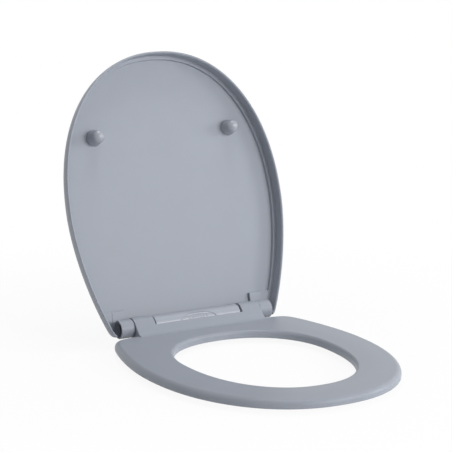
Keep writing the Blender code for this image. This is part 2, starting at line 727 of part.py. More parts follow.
def make_housing():
    """The hinge bar's cover, open beneath, with a window for the button and sockets for the shafts."""
    housing = side_prism(bar_section(BAR_RADIUS, HOUSING_FOOT), -BAR_HALF_LENGTH, BAR_HALF_LENGTH)
    housing = soften(housing, 0.6 * MM, segments=1)
    hollow = side_prism(bar_section(BAR_INNER_RADIUS, HOUSING_FOOT - 5 * MM), -BAR_INNER_END, BAR_INNER_END)
    housing = cut(housing, hollow)
    for side, sign in SIDES:
        start, end = sign * SHAFT_START, sign * (BAR_INNER_END + MM)
        socket = rod_x(start, end, SOCKET_RADIUS, 32)
        web = box((start, end), (-1.5 * MM, 1.5 * MM), (AXIS_HEIGHT, AXIS_HEIGHT + BAR_INNER_RADIUS + MM))
        housing = add(housing, add(socket, web))
        housing = cut(housing, flatted_rod(start - sign * MM, sign * (BAR_HALF_LENGTH + MM), GAP))
        x, y = SCREW_AT
        for row in (-1, 1):
            top = AXIS_HEIGHT + math.sqrt(BAR_INNER_RADIUS ** 2 - y ** 2)
            place = Vector((sign * x, row * y, 0))
            low = place + Vector((0, 0, BASE_TOP + GAP))
            boss = rod(low, place + Vector((0, 0, top)), SCREW_BOSS_RADIUS, 20)
            housing = add(housing, boss)
            deep = place + Vector((0, 0, BASE_BOTTOM + SCREW_LENGTH + 2 * MM))
            housing = cut(housing, rod(place, deep, SCREW_RADIUS + GAP, 16))
    return cut(housing, button_prism(GAP, 2 * MM, 30 * MM))


def flatted_rod(x0, x1, grow=0.0):
    """A round shaft with two flats."""
    flat = SHAFT_FLAT + grow
    shaft = rod_x(x0, x1, SHAFT_RADIUS + grow, 32)
    return trim(shaft, box((x0, x1), (-BAR_RADIUS, BAR_RADIUS), (AXIS_HEIGHT - flat, AXIS_HEIGHT + flat)))


def make_base():
    """The plate that closes the bar beneath and stands on the bowl between the fixings."""
    reach, half = BAR_INNER_END - GAP, BAR_INNER_RADIUS - GAP
    base = box((-reach, reach), (-half, half), (BASE_BOTTOM, BASE_TOP))
    foot = box((-FOOT_HALF_LENGTH, FOOT_HALF_LENGTH), (-FOOT_HALF_WIDTH, FOOT_HALF_WIDTH), (0, BASE_TOP - MM))
    base = add(base, foot)
    for side, sign in SIDES:
        post = Vector((sign * POST_AT, 0, 0))
        up = Vector((0, 0, POST_SHOULDER))
        base = add(base, rod(post + Vector((0, 0, BASE_BOTTOM)), post + up, SLEEVE_RADIUS, 28))
        base = cut(base, rod(post, post + up + Vector((0, 0, MM)), POST_RADIUS + RUNNING_GAP, 20))
        room = SPRING_RADIUS + SPRING_WIRE + RUNNING_GAP
        base = cut(base, box((sign * (POST_AT + 3 * MM), sign * BAR_HALF_LENGTH), (-room, room),
                             (LATCH_LEVEL + LATCH_THICKNESS / 2 - room, POST_SHOULDER + MM)))
        x, y = SCREW_AT
        rail = (sign * (x - 4 * MM), sign * (x + 4 * MM))
        base = add(base, box(rail, (-LATCH_WAIST, LATCH_WAIST), (BASE_TOP - MM, POST_SHOULDER)))
        for row in (-1, 1):
            place = Vector((sign * x, row * y, 0))
            base = cut(base, rod(place, place + Vector((0, 0, BASE_TOP + MM)), SCREW_RADIUS + GAP, 16))
            sink = Vector((0, 0, BASE_BOTTOM + SCREW_HEAD_THICKNESS + GAP))
            base = cut(base, rod(place, place + sink, SCREW_HEAD_RADIUS + GAP, 20))
    return base


def housing_screw(sign, row):
    """A small pan head screw, put in from beneath."""
    low = BASE_BOTTOM
    head = low + SCREW_HEAD_THICKNESS
    profile = [(0, low + SCREW_LENGTH), (SCREW_RADIUS / 2, low + SCREW_LENGTH),
               (SCREW_RADIUS, low + SCREW_LENGTH - MM), (SCREW_RADIUS, head), (SCREW_HEAD_RADIUS, head),
               (SCREW_HEAD_RADIUS, low + 0.5 * MM), (SCREW_HEAD_RADIUS - 0.6 * MM, low), (0, low)]
    screw = turned(profile, 16)
    slot = box((-0.4 * MM, 0.4 * MM), (-2 * MM, 2 * MM), (low - MM, low + 0.7 * MM))
    x, y = SCREW_AT
    return move(cut(screw, slot), Matrix.Translation((sign * x, row * y, 0)))


def make_latch(sign):
    """A sliding plate with a keyhole that holds the post, pushed outwards by the wedge."""
    low, high = LATCH_LEVEL, LATCH_LEVEL + LATCH_THICKNESS
    x, y = SCREW_AT
    waist = (x - SCREW_BOSS_RADIUS - LATCH_TRAVEL - MM, x + SCREW_BOSS_RADIUS + MM)
    latch = box((0, sign * waist[0]), (-LATCH_HALF_WIDTH, LATCH_HALF_WIDTH), (low, high))
    latch = cut(latch, wedge(RUNNING_GAP, -30 * MM, 16.5 * MM, -40 * MM, 40 * MM))
    latch = trim(latch, box((0, sign * BAR_HALF_LENGTH), (-BAR_RADIUS, BAR_RADIUS), (0, 2 * high)))
    bridge = (sign * (waist[0] - 2 * MM), sign * (waist[1] + MM))
    latch = add(latch, box(bridge, (-LATCH_WAIST, LATCH_WAIST), (low, high)))
    outer = (sign * waist[1], sign * LATCH_END)
    latch = add(latch, box(outer, (-LATCH_HALF_WIDTH, LATCH_HALF_WIDTH), (low, high)))
    narrow = POST_NECK_RADIUS + RUNNING_GAP
    open_at = sign * (POST_AT - LATCH_TRAVEL)
    drop = Vector((open_at, 0, low - MM))
    rise = Vector((0, 0, 3 * LATCH_THICKNESS))
    latch = cut(latch, rod(drop, drop + rise, POST_HEAD_RADIUS + RUNNING_GAP, 24))
    slot_end = sign * (POST_AT + narrow)
    return cut(latch, box((open_at, slot_end), (-narrow, narrow), (low - MM, high + MM)))


def latch_spring(sign):
    """A small coil spring between the latch and the end wall of the bar."""
    start = LATCH_END + GAP + SPRING_WIRE
    end = BAR_INNER_END - GAP - SPRING_WIRE
    per_turn = 10
    count = SPRING_TURNS * per_turn
    curve = bpy.data.curves.new("coil", "CURVE")
    curve.dimensions = "3D"
    curve.bevel_depth = SPRING_WIRE
    curve.bevel_resolution = 1
    curve.use_fill_caps = True
    spline = curve.splines.new("POLY")
    spline.points.add(count)
    for i, point in enumerate(spline.points):
        turn = 2 * math.pi * i / per_turn
        x = sign * (start + (end - start) * i / count)
        level = LATCH_LEVEL + LATCH_THICKNESS / 2
        point.co = (x, SPRING_RADIUS * math.cos(turn), level + SPRING_RADIUS * math.sin(turn), 1)
    return bake(blank(curve))


def damper_case(side, sign):
    """Body of a soft close damper, keyed to the lid on the left and to the seat on the right."""
    start, head = sign * CASE_START, sign * CASE_HEAD_START
    end = head + sign * CASE_HEAD_LENGTH
    body = rod_x(start, head, CASE_RADIUS)
    cap = soften(rod_x(head, end, LID_BORE_RADIUS - RUNNING_GAP), 0.6 * MM, segments=1)
    if side == "left":
        flat = CASE_HEAD_FLAT
        reach = (AXIS_HEIGHT - flat, AXIS_HEIGHT + flat)
        cap = trim(cap, box((start, 2 * end), (-BAR_RADIUS, BAR_RADIUS), reach))
    else:
        flat = CASE_FLAT
        keyed = box((sign * (SEAT_KNUCKLE_START - MM), 2 * end), (-BAR_RADIUS, BAR_RADIUS),
                    (AXIS_HEIGHT - flat, AXIS_HEIGHT + flat))
        body = trim(body, keyed)
        body = add(body, rod_x(start, sign * (SEAT_KNUCKLE_START - GAP), CASE_RADIUS - 1.8 * MM))
    case = add(body, rod_x(head - sign * MM, head + sign * MM, CASE_FLAT - GAP))
    case = add(case, cap)
    bore_end = sign * (BAR_HALF_LENGTH + SHAFT_REACH + 2 * MM)
    return cut(case, rod_x(start - sign * MM, bore_end, SHAFT_RADIUS + RUNNING_GAP, 32))


def damper_shaft(sign):
    """Steel shaft, flatted where the bar holds it and round inside the damper."""
    start, split = sign * (SHAFT_START + GAP), sign * (BAR_HALF_LENGTH + GAP)
    flatted = flatted_rod(start, split + sign * 0.2 * MM)
    return add(flatted, rod_x(split, sign * (BAR_HALF_LENGTH + SHAFT_REACH), SHAFT_RADIUS, 32))


def fixing_post():
    """Stud with a grooved head that the latch grips."""
    shoulder, neck = POST_SHOULDER, POST_SHOULDER + POST_NECK_LENGTH
    low = PLATE_BOTTOM + GAP
    flange = low + POST_FLANGE_THICKNESS
    profile = [(0, neck + POST_HEAD_LENGTH), (POST_HEAD_RADIUS - 2 * MM, neck + POST_HEAD_LENGTH),
               (POST_HEAD_RADIUS, neck + 1.2 * MM), (POST_HEAD_RADIUS, neck), (POST_NECK_RADIUS, neck),
               (POST_NECK_RADIUS, shoulder), (POST_RADIUS, shoulder - 0.4 * MM), (POST_RADIUS, flange),
               (POST_FLANGE_RADIUS, flange), (POST_FLANGE_RADIUS, low), (0, low)]
    return turned(profile, 20)


def fixing_plate(sign):
    """Round plate with the post off centre, so that it swings to suit the holes in the bowl."""
    centre = Vector((sign * (PLATE_AT - POST_AT), 0, 0))
    low, high = centre + Vector((0, 0, PLATE_BOTTOM)), centre + Vector((0, 0, PLATE_TOP))
    plate = soften(rod(low, high, PLATE_RADIUS, 36), 0.6 * MM, segments=1)
    seat_top = PLATE_BOTTOM + GAP + POST_FLANGE_THICKNESS + GAP
    plate = cut(plate, rod((0, 0, 0), (0, 0, seat_top), POST_FLANGE_RADIUS + GAP, 20))
    plate = cut(plate, rod((0, 0, 0), (0, 0, PLATE_TOP + MM), POST_RADIUS + GAP, 20))
    bolt = sign * (BOLT_AT - POST_AT)
    return cut(plate, rod((bolt, 0, 0), (bolt, 0, PLATE_TOP + MM), BOLT_HOLE_RADIUS, 24))


def fixing_gasket(sign):
    """Thin rubber pad between the plate and the bowl."""
    centre = Vector((sign * (PLATE_AT - POST_AT), 0, 0))
    pad = rod(centre, centre + Vector((0, 0, GASKET_THICKNESS)), PLATE_RADIUS + GASKET_MARGIN, 36)
    bolt = sign * (BOLT_AT - POST_AT)
    hole = rod((bolt, 0, -MM), (bolt, 0, 2 * GASKET_THICKNESS), BOLT_HOLE_RADIUS + GASKET_MARGIN, 24)
    return cut(pad, hole)


clear_scene()
parts = make_collection("toilet_seat")
workshop = make_collection("cutters")

grey_gloss = plastic("grey_gloss", (0.36, 0.385, 0.44), 0.22)
grey_satin = plastic("grey_satin", (0.37, 0.395, 0.45), 0.34)
grey_rubber = plastic("grey_rubber", (0.33, 0.35, 0.40), 0.55)
dark_rubber = plastic("dark_rubber", (0.06, 0.06, 0.065), 0.7)
white_acetal = plastic("white_acetal", (0.75, 0.75, 0.73), 0.4)
black_nylon = plastic("black_nylon", (0.035, 0.035, 0.038), 0.45)
steel = plastic("steel", (0.6, 0.6, 0.6), 0.3, 1.0)

seat_pivot = make_pivot("seat_pivot", AXIS)
lid_pivot = make_pivot("lid_pivot", AXIS, -LID_OPEN_ANGLE)

finish(make_seat(), "seat", grey_gloss, seat_pivot)
for name, angle in zip(("rear_right", "rear_left", "front_right", "front_left"), BUFFER_ANGLES):
    finish(seat_buffer(angle), "seat_buffer_" + name, dark_rubber, seat_pivot)
finish(make_lid(), "lid", grey_gloss, lid_pivot)

finish(make_housing(), "hinge_housing", grey_satin)
finish(make_base(), "hinge_base", black_nylon)
finish(make_button(), "release_button", grey_satin)

for side, sign in SIDES:
    finish(lid_buffer(sign), "lid_buffer_" + side, grey_rubber, lid_pivot)
    case_pivot = lid_pivot if side == "left" else seat_pivot
    finish(damper_case(side, sign), "damper_case_" + side, black_nylon, case_pivot)
    finish(damper_shaft(sign), "damper_shaft_" + side, steel)
    finish(make_latch(sign), "latch_" + side, white_acetal)
    finish(latch_spring(sign), "latch_spring_" + side, steel)
    for end, row in (("front", -1), ("rear", 1)):
        finish(housing_screw(sign, row), "housing_screw_" + end + "_" + side, steel)
    post_pivot = make_pivot("post_pivot_" + side, Vector((sign * POST_AT, 0, 0)))
    fixing = ((fixing_post(), "post_", steel), (fixing_plate(sign), "plate_", white_acetal),
              (fixing_gasket(sign), "gasket_", dark_rubber))
    for item, name, material in fixing:
        move(item, Matrix.Translation(post_pivot.location))
        finish(item, "fixing_" + name + side, material, post_pivot)
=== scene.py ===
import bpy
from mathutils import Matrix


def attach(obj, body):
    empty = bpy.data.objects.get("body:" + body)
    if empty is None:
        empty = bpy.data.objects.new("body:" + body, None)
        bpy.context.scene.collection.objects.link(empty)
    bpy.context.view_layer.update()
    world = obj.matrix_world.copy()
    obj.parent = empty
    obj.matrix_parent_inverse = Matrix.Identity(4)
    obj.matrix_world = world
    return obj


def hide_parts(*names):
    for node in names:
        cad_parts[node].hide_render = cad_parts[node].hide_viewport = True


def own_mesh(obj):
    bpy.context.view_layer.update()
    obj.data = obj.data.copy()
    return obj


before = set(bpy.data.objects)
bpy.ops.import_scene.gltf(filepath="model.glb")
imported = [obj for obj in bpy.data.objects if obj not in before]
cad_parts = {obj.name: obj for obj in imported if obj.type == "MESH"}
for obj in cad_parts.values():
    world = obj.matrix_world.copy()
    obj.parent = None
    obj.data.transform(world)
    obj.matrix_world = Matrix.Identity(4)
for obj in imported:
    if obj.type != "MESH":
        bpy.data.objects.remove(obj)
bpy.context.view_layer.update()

import math

import bmesh
import bpy
from mathutils import Matrix, Vector
from mathutils.bvhtree import BVHTree

# Camera
# A long lens from the front left and a little above the ring, at the photograph's angle.
azimuth, elevation, roll = (math.radians(angle) for angle in (-30.493, 11.852, 0.3525))
looked_at, distance = Vector((0, -0.0933, 0.1908)), 2.4355
picture_width, focal_length = 452, 1642.05
back = Vector((math.sin(azimuth) * math.cos(elevation), -math.cos(azimuth) * math.cos(elevation),
               math.sin(elevation)))
level = Vector((math.cos(azimuth), math.sin(azimuth), 0))
above = back.cross(level)
camera_right = level * math.cos(roll) + above * math.sin(roll)
camera_up = above * math.cos(roll) - level * math.sin(roll)
camera_data = bpy.data.cameras.new("camera")
camera_data.sensor_width = 36
camera_data.lens = camera_data.sensor_width * focal_length / picture_width
camera_data.clip_end = 50
camera = bpy.data.objects.new("camera", camera_data)
camera_turn = Matrix((camera_right, camera_up, back)).transposed().to_4x4()
camera.matrix_world = Matrix.Translation(looked_at + back * distance) @ camera_turn
bpy.context.scene.collection.objects.link(camera)
bpy.context.scene.camera = camera


# Floor and light
# A plain pale floor and soft lamps: a broad one in front, weaker ones from the right and the left, a
# small one overhead, and an even pale room, which is white where it is looked at or mirrored.
def add_node(tree, kind, sockets=None, **settings):
    """A node with its settings made and its sockets set or linked."""
    node = tree.nodes.new(kind)
    for key, value in settings.items():
        setattr(node, key, value)
    for key, value in (sockets or {}).items():
        if isinstance(value, bpy.types.NodeSocket):
            tree.links.new(value, node.inputs[key])
        else:
            node.inputs[key].default_value = value
    return node


def math_node(tree, operation, *values):
    """The result of a sum on two or three numbers or sockets."""
    return add_node(tree, "ShaderNodeMath", dict(enumerate(values)), operation=operation).outputs[0]


def remap(tree, value, low, high, to_low=0, to_high=1, **settings):
    """A value carried from one range over to another and kept within it."""
    sockets = {"Value": value, "From Min": low, "From Max": high, "To Min": to_low, "To Max": to_high}
    return add_node(tree, "ShaderNodeMapRange", sockets, **settings).outputs[0]


def seen_or_mirrored(tree):
    """1 for a ray from the camera, or one that came off or through something shiny."""
    path = add_node(tree, "ShaderNodeLightPath")
    either = math_node(tree, "MAXIMUM", path.outputs["Is Camera Ray"], path.outputs["Is Glossy Ray"])
    return math_node(tree, "MAXIMUM", either, path.outputs["Is Transmission Ray"])


def soft_lamp(name, place, aim, size, power):
    """A round, broad lamp, turned to what it lights."""
    data = bpy.data.lights.new(name, "AREA")
    data.shape = "DISK"
    data.size = size
    data.energy = power
    lamp = bpy.data.objects.new(name, data)
    lamp.location = place
    lamp.rotation_mode = "QUATERNION"
    lamp.rotation_quaternion = (Vector(aim) - Vector(place)).to_track_quat("-Z", "Y")
    bpy.context.scene.collection.objects.link(lamp)


room = bpy.data.worlds.new("pale_room")
room.use_nodes = True
room_tree = room.node_tree
room_tree.nodes.clear()
room_light = add_node(room_tree, "ShaderNodeBackground", {"Color": (0.98, 0.99, 1, 1), "Strength": 0.33})
room_seen = add_node(room_tree, "ShaderNodeBackground", {"Color": (1, 1, 1, 1), "Strength": 1})
room_mix = add_node(room_tree, "ShaderNodeMixShader",
                    {0: seen_or_mirrored(room_tree), 1: room_light.outputs[0], 2: room_seen.outputs[0]})
add_node(room_tree, "ShaderNodeOutputWorld", {0: room_mix.outputs[0]})
bpy.context.scene.world = room
bpy.context.scene.view_settings.view_transform = "Standard"

soft_lamp("front_lamp", (1.1, -2.6, 1.1), (0, 0, 0.2), 1.4, 48)
soft_lamp("right_lamp", (2.5, -1.3, 0.9), (0, 0, 0.2), 0.9, 24)
soft_lamp("left_lamp", (-2.4, 0.6, 1.3), (-0.1, 0, 0.2), 1.2, 6)
soft_lamp("overhead_lamp", (0.3, 0.2, 2.3), (0, -0.15, 0), 0.8, 16)

floor_level = -0.0003
floor_form = bmesh.new()
bmesh.ops.create_circle(floor_form, cap_ends=True, segments=96, radius=3,
                        matrix=Matrix.Translation((0, 0, floor_level)))
floor_mesh = bpy.data.meshes.new("floor")
floor_form.to_mesh(floor_mesh)
floor_form.free()
floor = bpy.data.objects.new("floor", floor_mesh)
bpy.context.scene.collection.objects.link(floor)
pale_floor = bpy.data.materials.new("pale_floor")
pale_floor.use_nodes = True
floor_tree = pale_floor.node_tree
floor_tree.nodes.clear()
floor_lit = add_node(floor_tree, "ShaderNodeBsdfDiffuse", {"Color": (0.86, 0.86, 0.86, 1)})
floor_white = add_node(floor_tree, "ShaderNodeEmission", {"Color": (1, 1, 1, 1), "Strength": 1})
fade_start, fade_end, white_near, white_far = 0.25, 0.75, 0.92, 1
floor_place = add_node(floor_tree, "ShaderNodeTexCoord").outputs["Object"]
away = add_node(floor_tree, "ShaderNodeVectorMath", {0: floor_place}, operation="LENGTH")
fade = remap(floor_tree, away.outputs["Value"], fade_start, fade_end, white_near, white_far)
floor_share = math_node(floor_tree, "MULTIPLY", seen_or_mirrored(floor_tree), fade)
floor_mix = add_node(floor_tree, "ShaderNodeMixShader",
                     {0: floor_share, 1: floor_lit.outputs[0], 2: floor_white.outputs[0]})
add_node(floor_tree, "ShaderNodeOutputMaterial", {0: floor_mix.outputs[0]})
floor_mesh.materials.append(pale_floor)


# Moulded plastic
# The seat, its hinge and its small inner pieces are injection or compression moulded. A polished mould
# leaves broad shallow waves, a spark eroded one a fine grain, and handling rubs the edges and gathers dust.
def new_group(name, inputs, outputs):
    """An empty group with number inputs and the outputs named, and its two end nodes."""
    group = bpy.data.node_groups.new(name, "ShaderNodeTree")
    for key, value in inputs.items():
        socket = group.interface.new_socket(name=key, in_out="INPUT", socket_type="NodeSocketFloat")
        socket.default_value = value
    for key in outputs:
        group.interface.new_socket(name=key, in_out="OUTPUT", socket_type="NodeSocketFloat")
    return group, group.nodes.new("NodeGroupInput"), group.nodes.new("NodeGroupOutput")


def on_piece(tree):
    """Places that stay with the piece, for its patterns."""
    return add_node(tree, "ShaderNodeTexCoord").outputs["Object"]


def noise(tree, place, scale, detail):
    """A cloudy pattern from 0 to 1."""
    return add_node(tree, "ShaderNodeTexNoise",
                    {"Vector": place, "Scale": scale, "Detail": detail}).outputs["Fac"]


def mixed(tree, share, first, second, **settings):
    """Two colours mixed, with the second one's share."""
    return add_node(tree, "ShaderNodeMix", {0: share, 6: first, 7: second}, data_type="RGBA",
                    **settings).outputs[2]


skin, skin_in, skin_out = new_group("mould_skin",
                                    {"Waves": 90, "Grains": 2500, "Wave Share": 0.8, "Grain Share": 0.2},
                                    ("Height", "Unevenness", "Tone"))
place = on_piece(skin)
waves = noise(skin, place, skin_in.outputs["Waves"], 1.5)
grains = noise(skin, place, skin_in.outputs["Grains"], 2)
patches = noise(skin, place, 14, 3)
wave_part = math_node(skin, "MULTIPLY", waves, skin_in.outputs["Wave Share"])
skin_height = math_node(skin, "MULTIPLY_ADD", grains, skin_in.outputs["Grain Share"], wave_part)
skin.links.new(skin_height, skin_out.inputs["Height"])
skin.links.new(remap(skin, patches, 0.3, 0.7, -1, 1), skin_out.inputs["Unevenness"])
skin.links.new(remap(skin, patches, 0.3, 0.7, 0.975, 1.02), skin_out.inputs["Tone"])

rub, rub_in, rub_out = new_group("rubbed_edges", {"Start": 0.53, "End": 0.6, "Amount": 0.5}, ("Rubbed",))
sharpness = add_node(rub, "ShaderNodeNewGeometry").outputs["Pointiness"]
edge = remap(rub, sharpness, rub_in.outputs["Start"], rub_in.outputs["End"], interpolation_type="SMOOTHSTEP")
broken = remap(rub, noise(rub, on_piece(rub), 160, 4), 0.35, 0.65)
rubbed = math_node(rub, "MULTIPLY", edge, broken)
rub.links.new(math_node(rub, "MULTIPLY", rubbed, rub_in.outputs["Amount"]), rub_out.inputs["Rubbed"])

dust, dust_in, dust_out = new_group("settled_dust", {"Amount": 0.1}, ("Dust",))
normal = add_node(dust, "ShaderNodeNewGeometry").outputs["Normal"]
facing = add_node(dust, "ShaderNodeSeparateXYZ", {0: normal})
lying = remap(dust, facing.outputs["Z"], 0.5, 1)
specks = remap(dust, noise(dust, on_piece(dust), 420, 5), 0.45, 0.7)
settled = math_node(dust, "MULTIPLY", lying, specks)
dust.links.new(math_node(dust, "MULTIPLY", settled, dust_in.outputs["Amount"]), dust_out.inputs["Dust"])


def place_group(tree, group, values):
    """A group set in a material's tree, with its own values."""
    node = tree.nodes.new("ShaderNodeGroup")
    node.node_tree = group
    for key, value in values.items():
        node.inputs[key].default_value = value
    return node


dust_colour, rubbed_white, rubbed_share = (0.5, 0.49, 0.47, 1), 0.75, 0.35


def moulded(name, colour, roughness, depth, skin_values, rubbed_amount, dust_amount, specular=0.5):
    """A moulded finish: its colour and gloss, and how deep its mould texture is."""
    material = bpy.data.materials.new(name)
    material.use_nodes = True
    tree = material.node_tree
    shader = tree.nodes["Principled BSDF"]
    shader.inputs["Specular IOR Level"].default_value = specular
    shape = place_group(tree, skin, skin_values)
    worn = place_group(tree, rub, {"Amount": rubbed_amount}).outputs[0]
    grey = place_group(tree, dust, {"Amount": dust_amount}).outputs[0]
    pale = tuple(value + (rubbed_white - value) * rubbed_share for value in colour)
    base = mixed(tree, 1.0, (*colour, 1), shape.outputs["Tone"], blend_type="MULTIPLY")
    base = mixed(tree, worn, base, (*pale, 1))
    base = mixed(tree, grey, base, dust_colour)
    tree.links.new(base, shader.inputs["Base Color"])
    gloss = roughness
    for effect, share in ((shape.outputs["Unevenness"], 0.025), (grey, 0.5), (worn, 0.15)):
        gloss = math_node(tree, "MULTIPLY_ADD", effect, share, gloss)
    tree.links.new(gloss, shader.inputs["Roughness"])
    bump = add_node(tree, "ShaderNodeBump",
                    {"Height": shape.outputs["Height"], "Strength": 1, "Distance": depth})
    tree.links.new(bump.outputs[0], shader.inputs["Normal"])
    return material


# Seat ring
# One compression moulding in blue-grey plastic: a crowned oval ring, hollow beneath with ribs, that
# rises at the rear in a short ramp to two knuckles, which turn on the dampers of the hinge bar.
MM = 0.001
axis_height = 26.4 * MM
widest_at, half_width = 180.6 * MM, 185 * MM
front_reach, front_power = 239.3 * MM, 2.2
rear_reach, rear_power = 334 * MM, 1.71953
ring_rear, ring_corner_power = 18.5 * MM, 20
opening_middle, opening_half_width = 189.4 * MM, 120 * MM
opening_front, opening_rear, opening_power = 168.5 * MM, 121.8 * MM, 2.2


def spread(start, stop, step):
    """Even steps from one number towards another, which is left out."""
    count = max(1, round(abs(stop - start) / step))
    return [start + (stop - start) * i / count for i in range(count)]


def directions(rear):
    """Directions round the outline from its widest point, close together at the rear corners."""
    along = widest_at - rear
    across = half_width * (1 - (along / rear_reach) ** rear_power) ** (1 / rear_power)
    corner, wide, tight = -math.degrees(math.atan2(along, across)), 9, 2.4
    stops = (-90, corner - wide, corner - tight, corner + tight, corner + wide, 0, 90)
    side = []
    for start, stop, step in zip(stops, stops[1:], (1.8, 0.7, 0.2, 0.7, 1.8, 1.8)):
        side += spread(start, stop, step)
    turns = side + [90] + [180 - angle for angle in reversed(side[1:])]
    return [(math.cos(math.radians(angle)), math.sin(math.radians(angle))) for angle in turns]


def body_outline(grow, rear, corner_power, z, turns):
    """Outline of ring or lid, grown outwards, cut straight at the rear with a soft corner."""
    points = []
    for across, along in turns:
        reach, power = (front_reach, front_power) if along >= 0 else (rear_reach, rear_power)
        shape = abs(across / (half_width + grow)) ** power + abs(along / (reach + grow)) ** power
        radius = shape ** (-1 / power)
        if along < 0:
            straight = (widest_at - rear + grow) / -along
            radius = (radius ** -corner_power + straight ** -corner_power) ** (-1 / corner_power)
        points.append(Vector((radius * across, -widest_at - radius * along, z)))
    return points


def opening_reach(across, along, grow=0.0):
    """How far the ring's opening reaches from its middle in a direction."""
    reach = (opening_front if along >= 0 else opening_rear) + grow
    shape = abs(across / (opening_half_width + grow)) ** opening_power + abs(along / reach) ** opening_power
    return shape ** (-1 / opening_power)


ring_turns = directions(ring_rear)


def ring_outline(inset, z):
    """The ring's outer line, drawn in by an inset."""
    return body_outline(-inset, ring_rear, ring_corner_power, z, ring_turns)


def opening_outline(inset, z):
    """The line round the ring's opening, set back into the ring by an inset."""
    points = []
    for across, along in ring_turns:
        radius = opening_reach(across, along, inset)
        points.append(Vector((radius * across, -opening_middle - radius * along, z)))
    return points


def skin_over(loops, closed=False):
    """A closed mesh over loops with equal counts, joined end to end or capped."""
    count = len(loops[0])
    points = [point for loop in loops for point in loop]
    pairs = list(zip(range(len(loops)), range(1, len(loops))))
    faces = []
    if closed:
        pairs.append((len(loops) - 1, 0))
    else:
        faces = [list(range(count)), list(range(len(points) - count, len(points)))]
    for a, b in pairs:
        for i in range(count):
            j = (i + 1) % count
            faces.append((a * count + i, a * count + j, b * count + j, b * count + i))
    form = bmesh.new()
    corners = [form.verts.new(point) for point in points]
    for face in faces:
        form.faces.new([corners[i] for i in face])
    bmesh.ops.recalc_face_normals(form, faces=form.faces)
    return made_solid(form)


def in_hand(mesh):
    """Puts a mesh in the scene to be worked on."""
    item = bpy.data.objects.new("form", mesh)
    bpy.context.scene.collection.objects.link(item)
    return item


def made_solid(form):
    """Puts a form that was built up face by face in the scene."""
    mesh = bpy.data.meshes.new("form")
    form.to_mesh(mesh)
    form.free()
    return in_hand(mesh)


def combine(item, tool, operation):
    """Union, difference or intersection of two forms, both used up."""
    modifier = item.modifiers.new("combine", "BOOLEAN")
    modifier.object = tool
    modifier.operation = operation
    modifier.solver = "EXACT"
    graph = bpy.context.evaluated_depsgraph_get()
    mesh = bpy.data.meshes.new_from_object(item.evaluated_get(graph))
    bpy.data.objects.remove(item)
    bpy.data.objects.remove(tool)
    form = bmesh.new()
    form.from_mesh(mesh)
    bmesh.ops.remove_doubles(form, verts=form.verts, dist=0.001 * MM)
    form.to_mesh(mesh)
    form.free()
    return in_hand(mesh)


def round_bar(start, end, radius, sides=72):
    """A cylinder from one point to another."""
    start, end = Vector(start), Vector(end)
    turn = (end - start).to_track_quat("Z", "Y").to_matrix().to_4x4()
    form = bmesh.new()
    bmesh.ops.create_cone(form, cap_ends=True, segments=sides, radius1=radius, radius2=radius,
                          depth=(end - start).length, matrix=Matrix.Translation((start + end) / 2) @ turn)
    return made_solid(form)


def axle(x0, x1, radius, sides=96):
    """A cylinder on the hinge axis."""
    return round_bar((x0, 0, axis_height), (x1, 0, axis_height), radius, sides)


def block(x, y, z):
    """A box between two ends on each axis."""
    form = bmesh.new()
    centre = Vector((sum(x) / 2, sum(y) / 2, sum(z) / 2))
    size = Matrix.Diagonal((abs(x[1] - x[0]), abs(y[1] - y[0]), abs(z[1] - z[0]), 1))
    bmesh.ops.create_cube(form, size=1, matrix=Matrix.Translation(centre) @ size)
    return made_solid(form)


def side_run(stations):
    """A skin over side profiles, each (x, [(y, z), ...])."""
    return skin_over([[Vector((x, y, z)) for y, z in profile] for x, profile in stations])


def quarter(steps):
    """Angles over a quarter turn."""
    return [math.pi / 2 * i / steps for i in range(steps + 1)]


def rounded_ends(start, end, radius):
    """Places along X near two ends, with how far in the profile stands there to round the edge."""
    turns = quarter(5)
    sign = 1 if end > start else -1
    near = [(start + sign * radius * (1 - math.sin(t)), radius * (1 - math.cos(t))) for t in reversed(turns)]
    far = [(end - sign * radius * (1 - math.sin(t)), radius * (1 - math.cos(t))) for t in turns]
    return near, far


def finish_piece(item, name, material, body, stands_for, angle=32):
    """Names a piece, shades it, gives it its material and ties it to the frame."""
    item.data.shade_smooth()
    item.data.set_sharp_from_angle(angle=math.radians(angle))
    item.modifiers.new("even_shading", "WEIGHTED_NORMAL").keep_sharp = True
    graph = bpy.context.evaluated_depsgraph_get()
    mesh = bpy.data.meshes.new_from_object(item.evaluated_get(graph))
    item.modifiers.clear()
    item.data = mesh
    item.name = mesh.name = name
    mesh.materials.clear()
    mesh.materials.append(material)
    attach(item, body)
    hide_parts(*stands_for)


foot_level, shoulder_level, crown = 7 * MM, 19.4 * MM, 0.6 * MM
foot_round, outer_round, inner_round = 1.8 * MM, 8 * MM, 5 * MM
section = []
for turn in quarter(4):
    section.append(ring_outline(foot_round * (1 - math.sin(turn)),
                                foot_level + foot_round * (1 - math.cos(turn))))
for turn in quarter(12):
    section.append(ring_outline(outer_round * (1 - math.cos(turn)),
                                shoulder_level - outer_round * (1 - math.sin(turn))))
outer_line, inner_line = ring_outline(outer_round, 0), opening_outline(inner_round, 0)
for share in (0.04, 0.1, 0.18, 0.28, 0.39, 0.5, 0.61, 0.72, 0.82, 0.9, 0.96):
    height = shoulder_level + crown * (1 - (2 * share - 1) ** 2) ** 2
    section.append([a.lerp(b, share) + Vector((0, 0, height)) for a, b in zip(outer_line, inner_line)])
for turn in quarter(9):
    section.append(opening_outline(inner_round * (1 - math.sin(turn)),
                                   shoulder_level - inner_round * (1 - math.cos(turn))))
for turn in quarter(3):
    section.append(opening_outline(foot_round * (1 - math.cos(turn)),
                                   foot_level + foot_round * (1 - math.sin(turn))))
hollow = [(3.2 * MM, foot_level), (3.6 * MM, 7.4 * MM), (4.2 * MM, 15 * MM), (5.2 * MM, 15.8 * MM)]
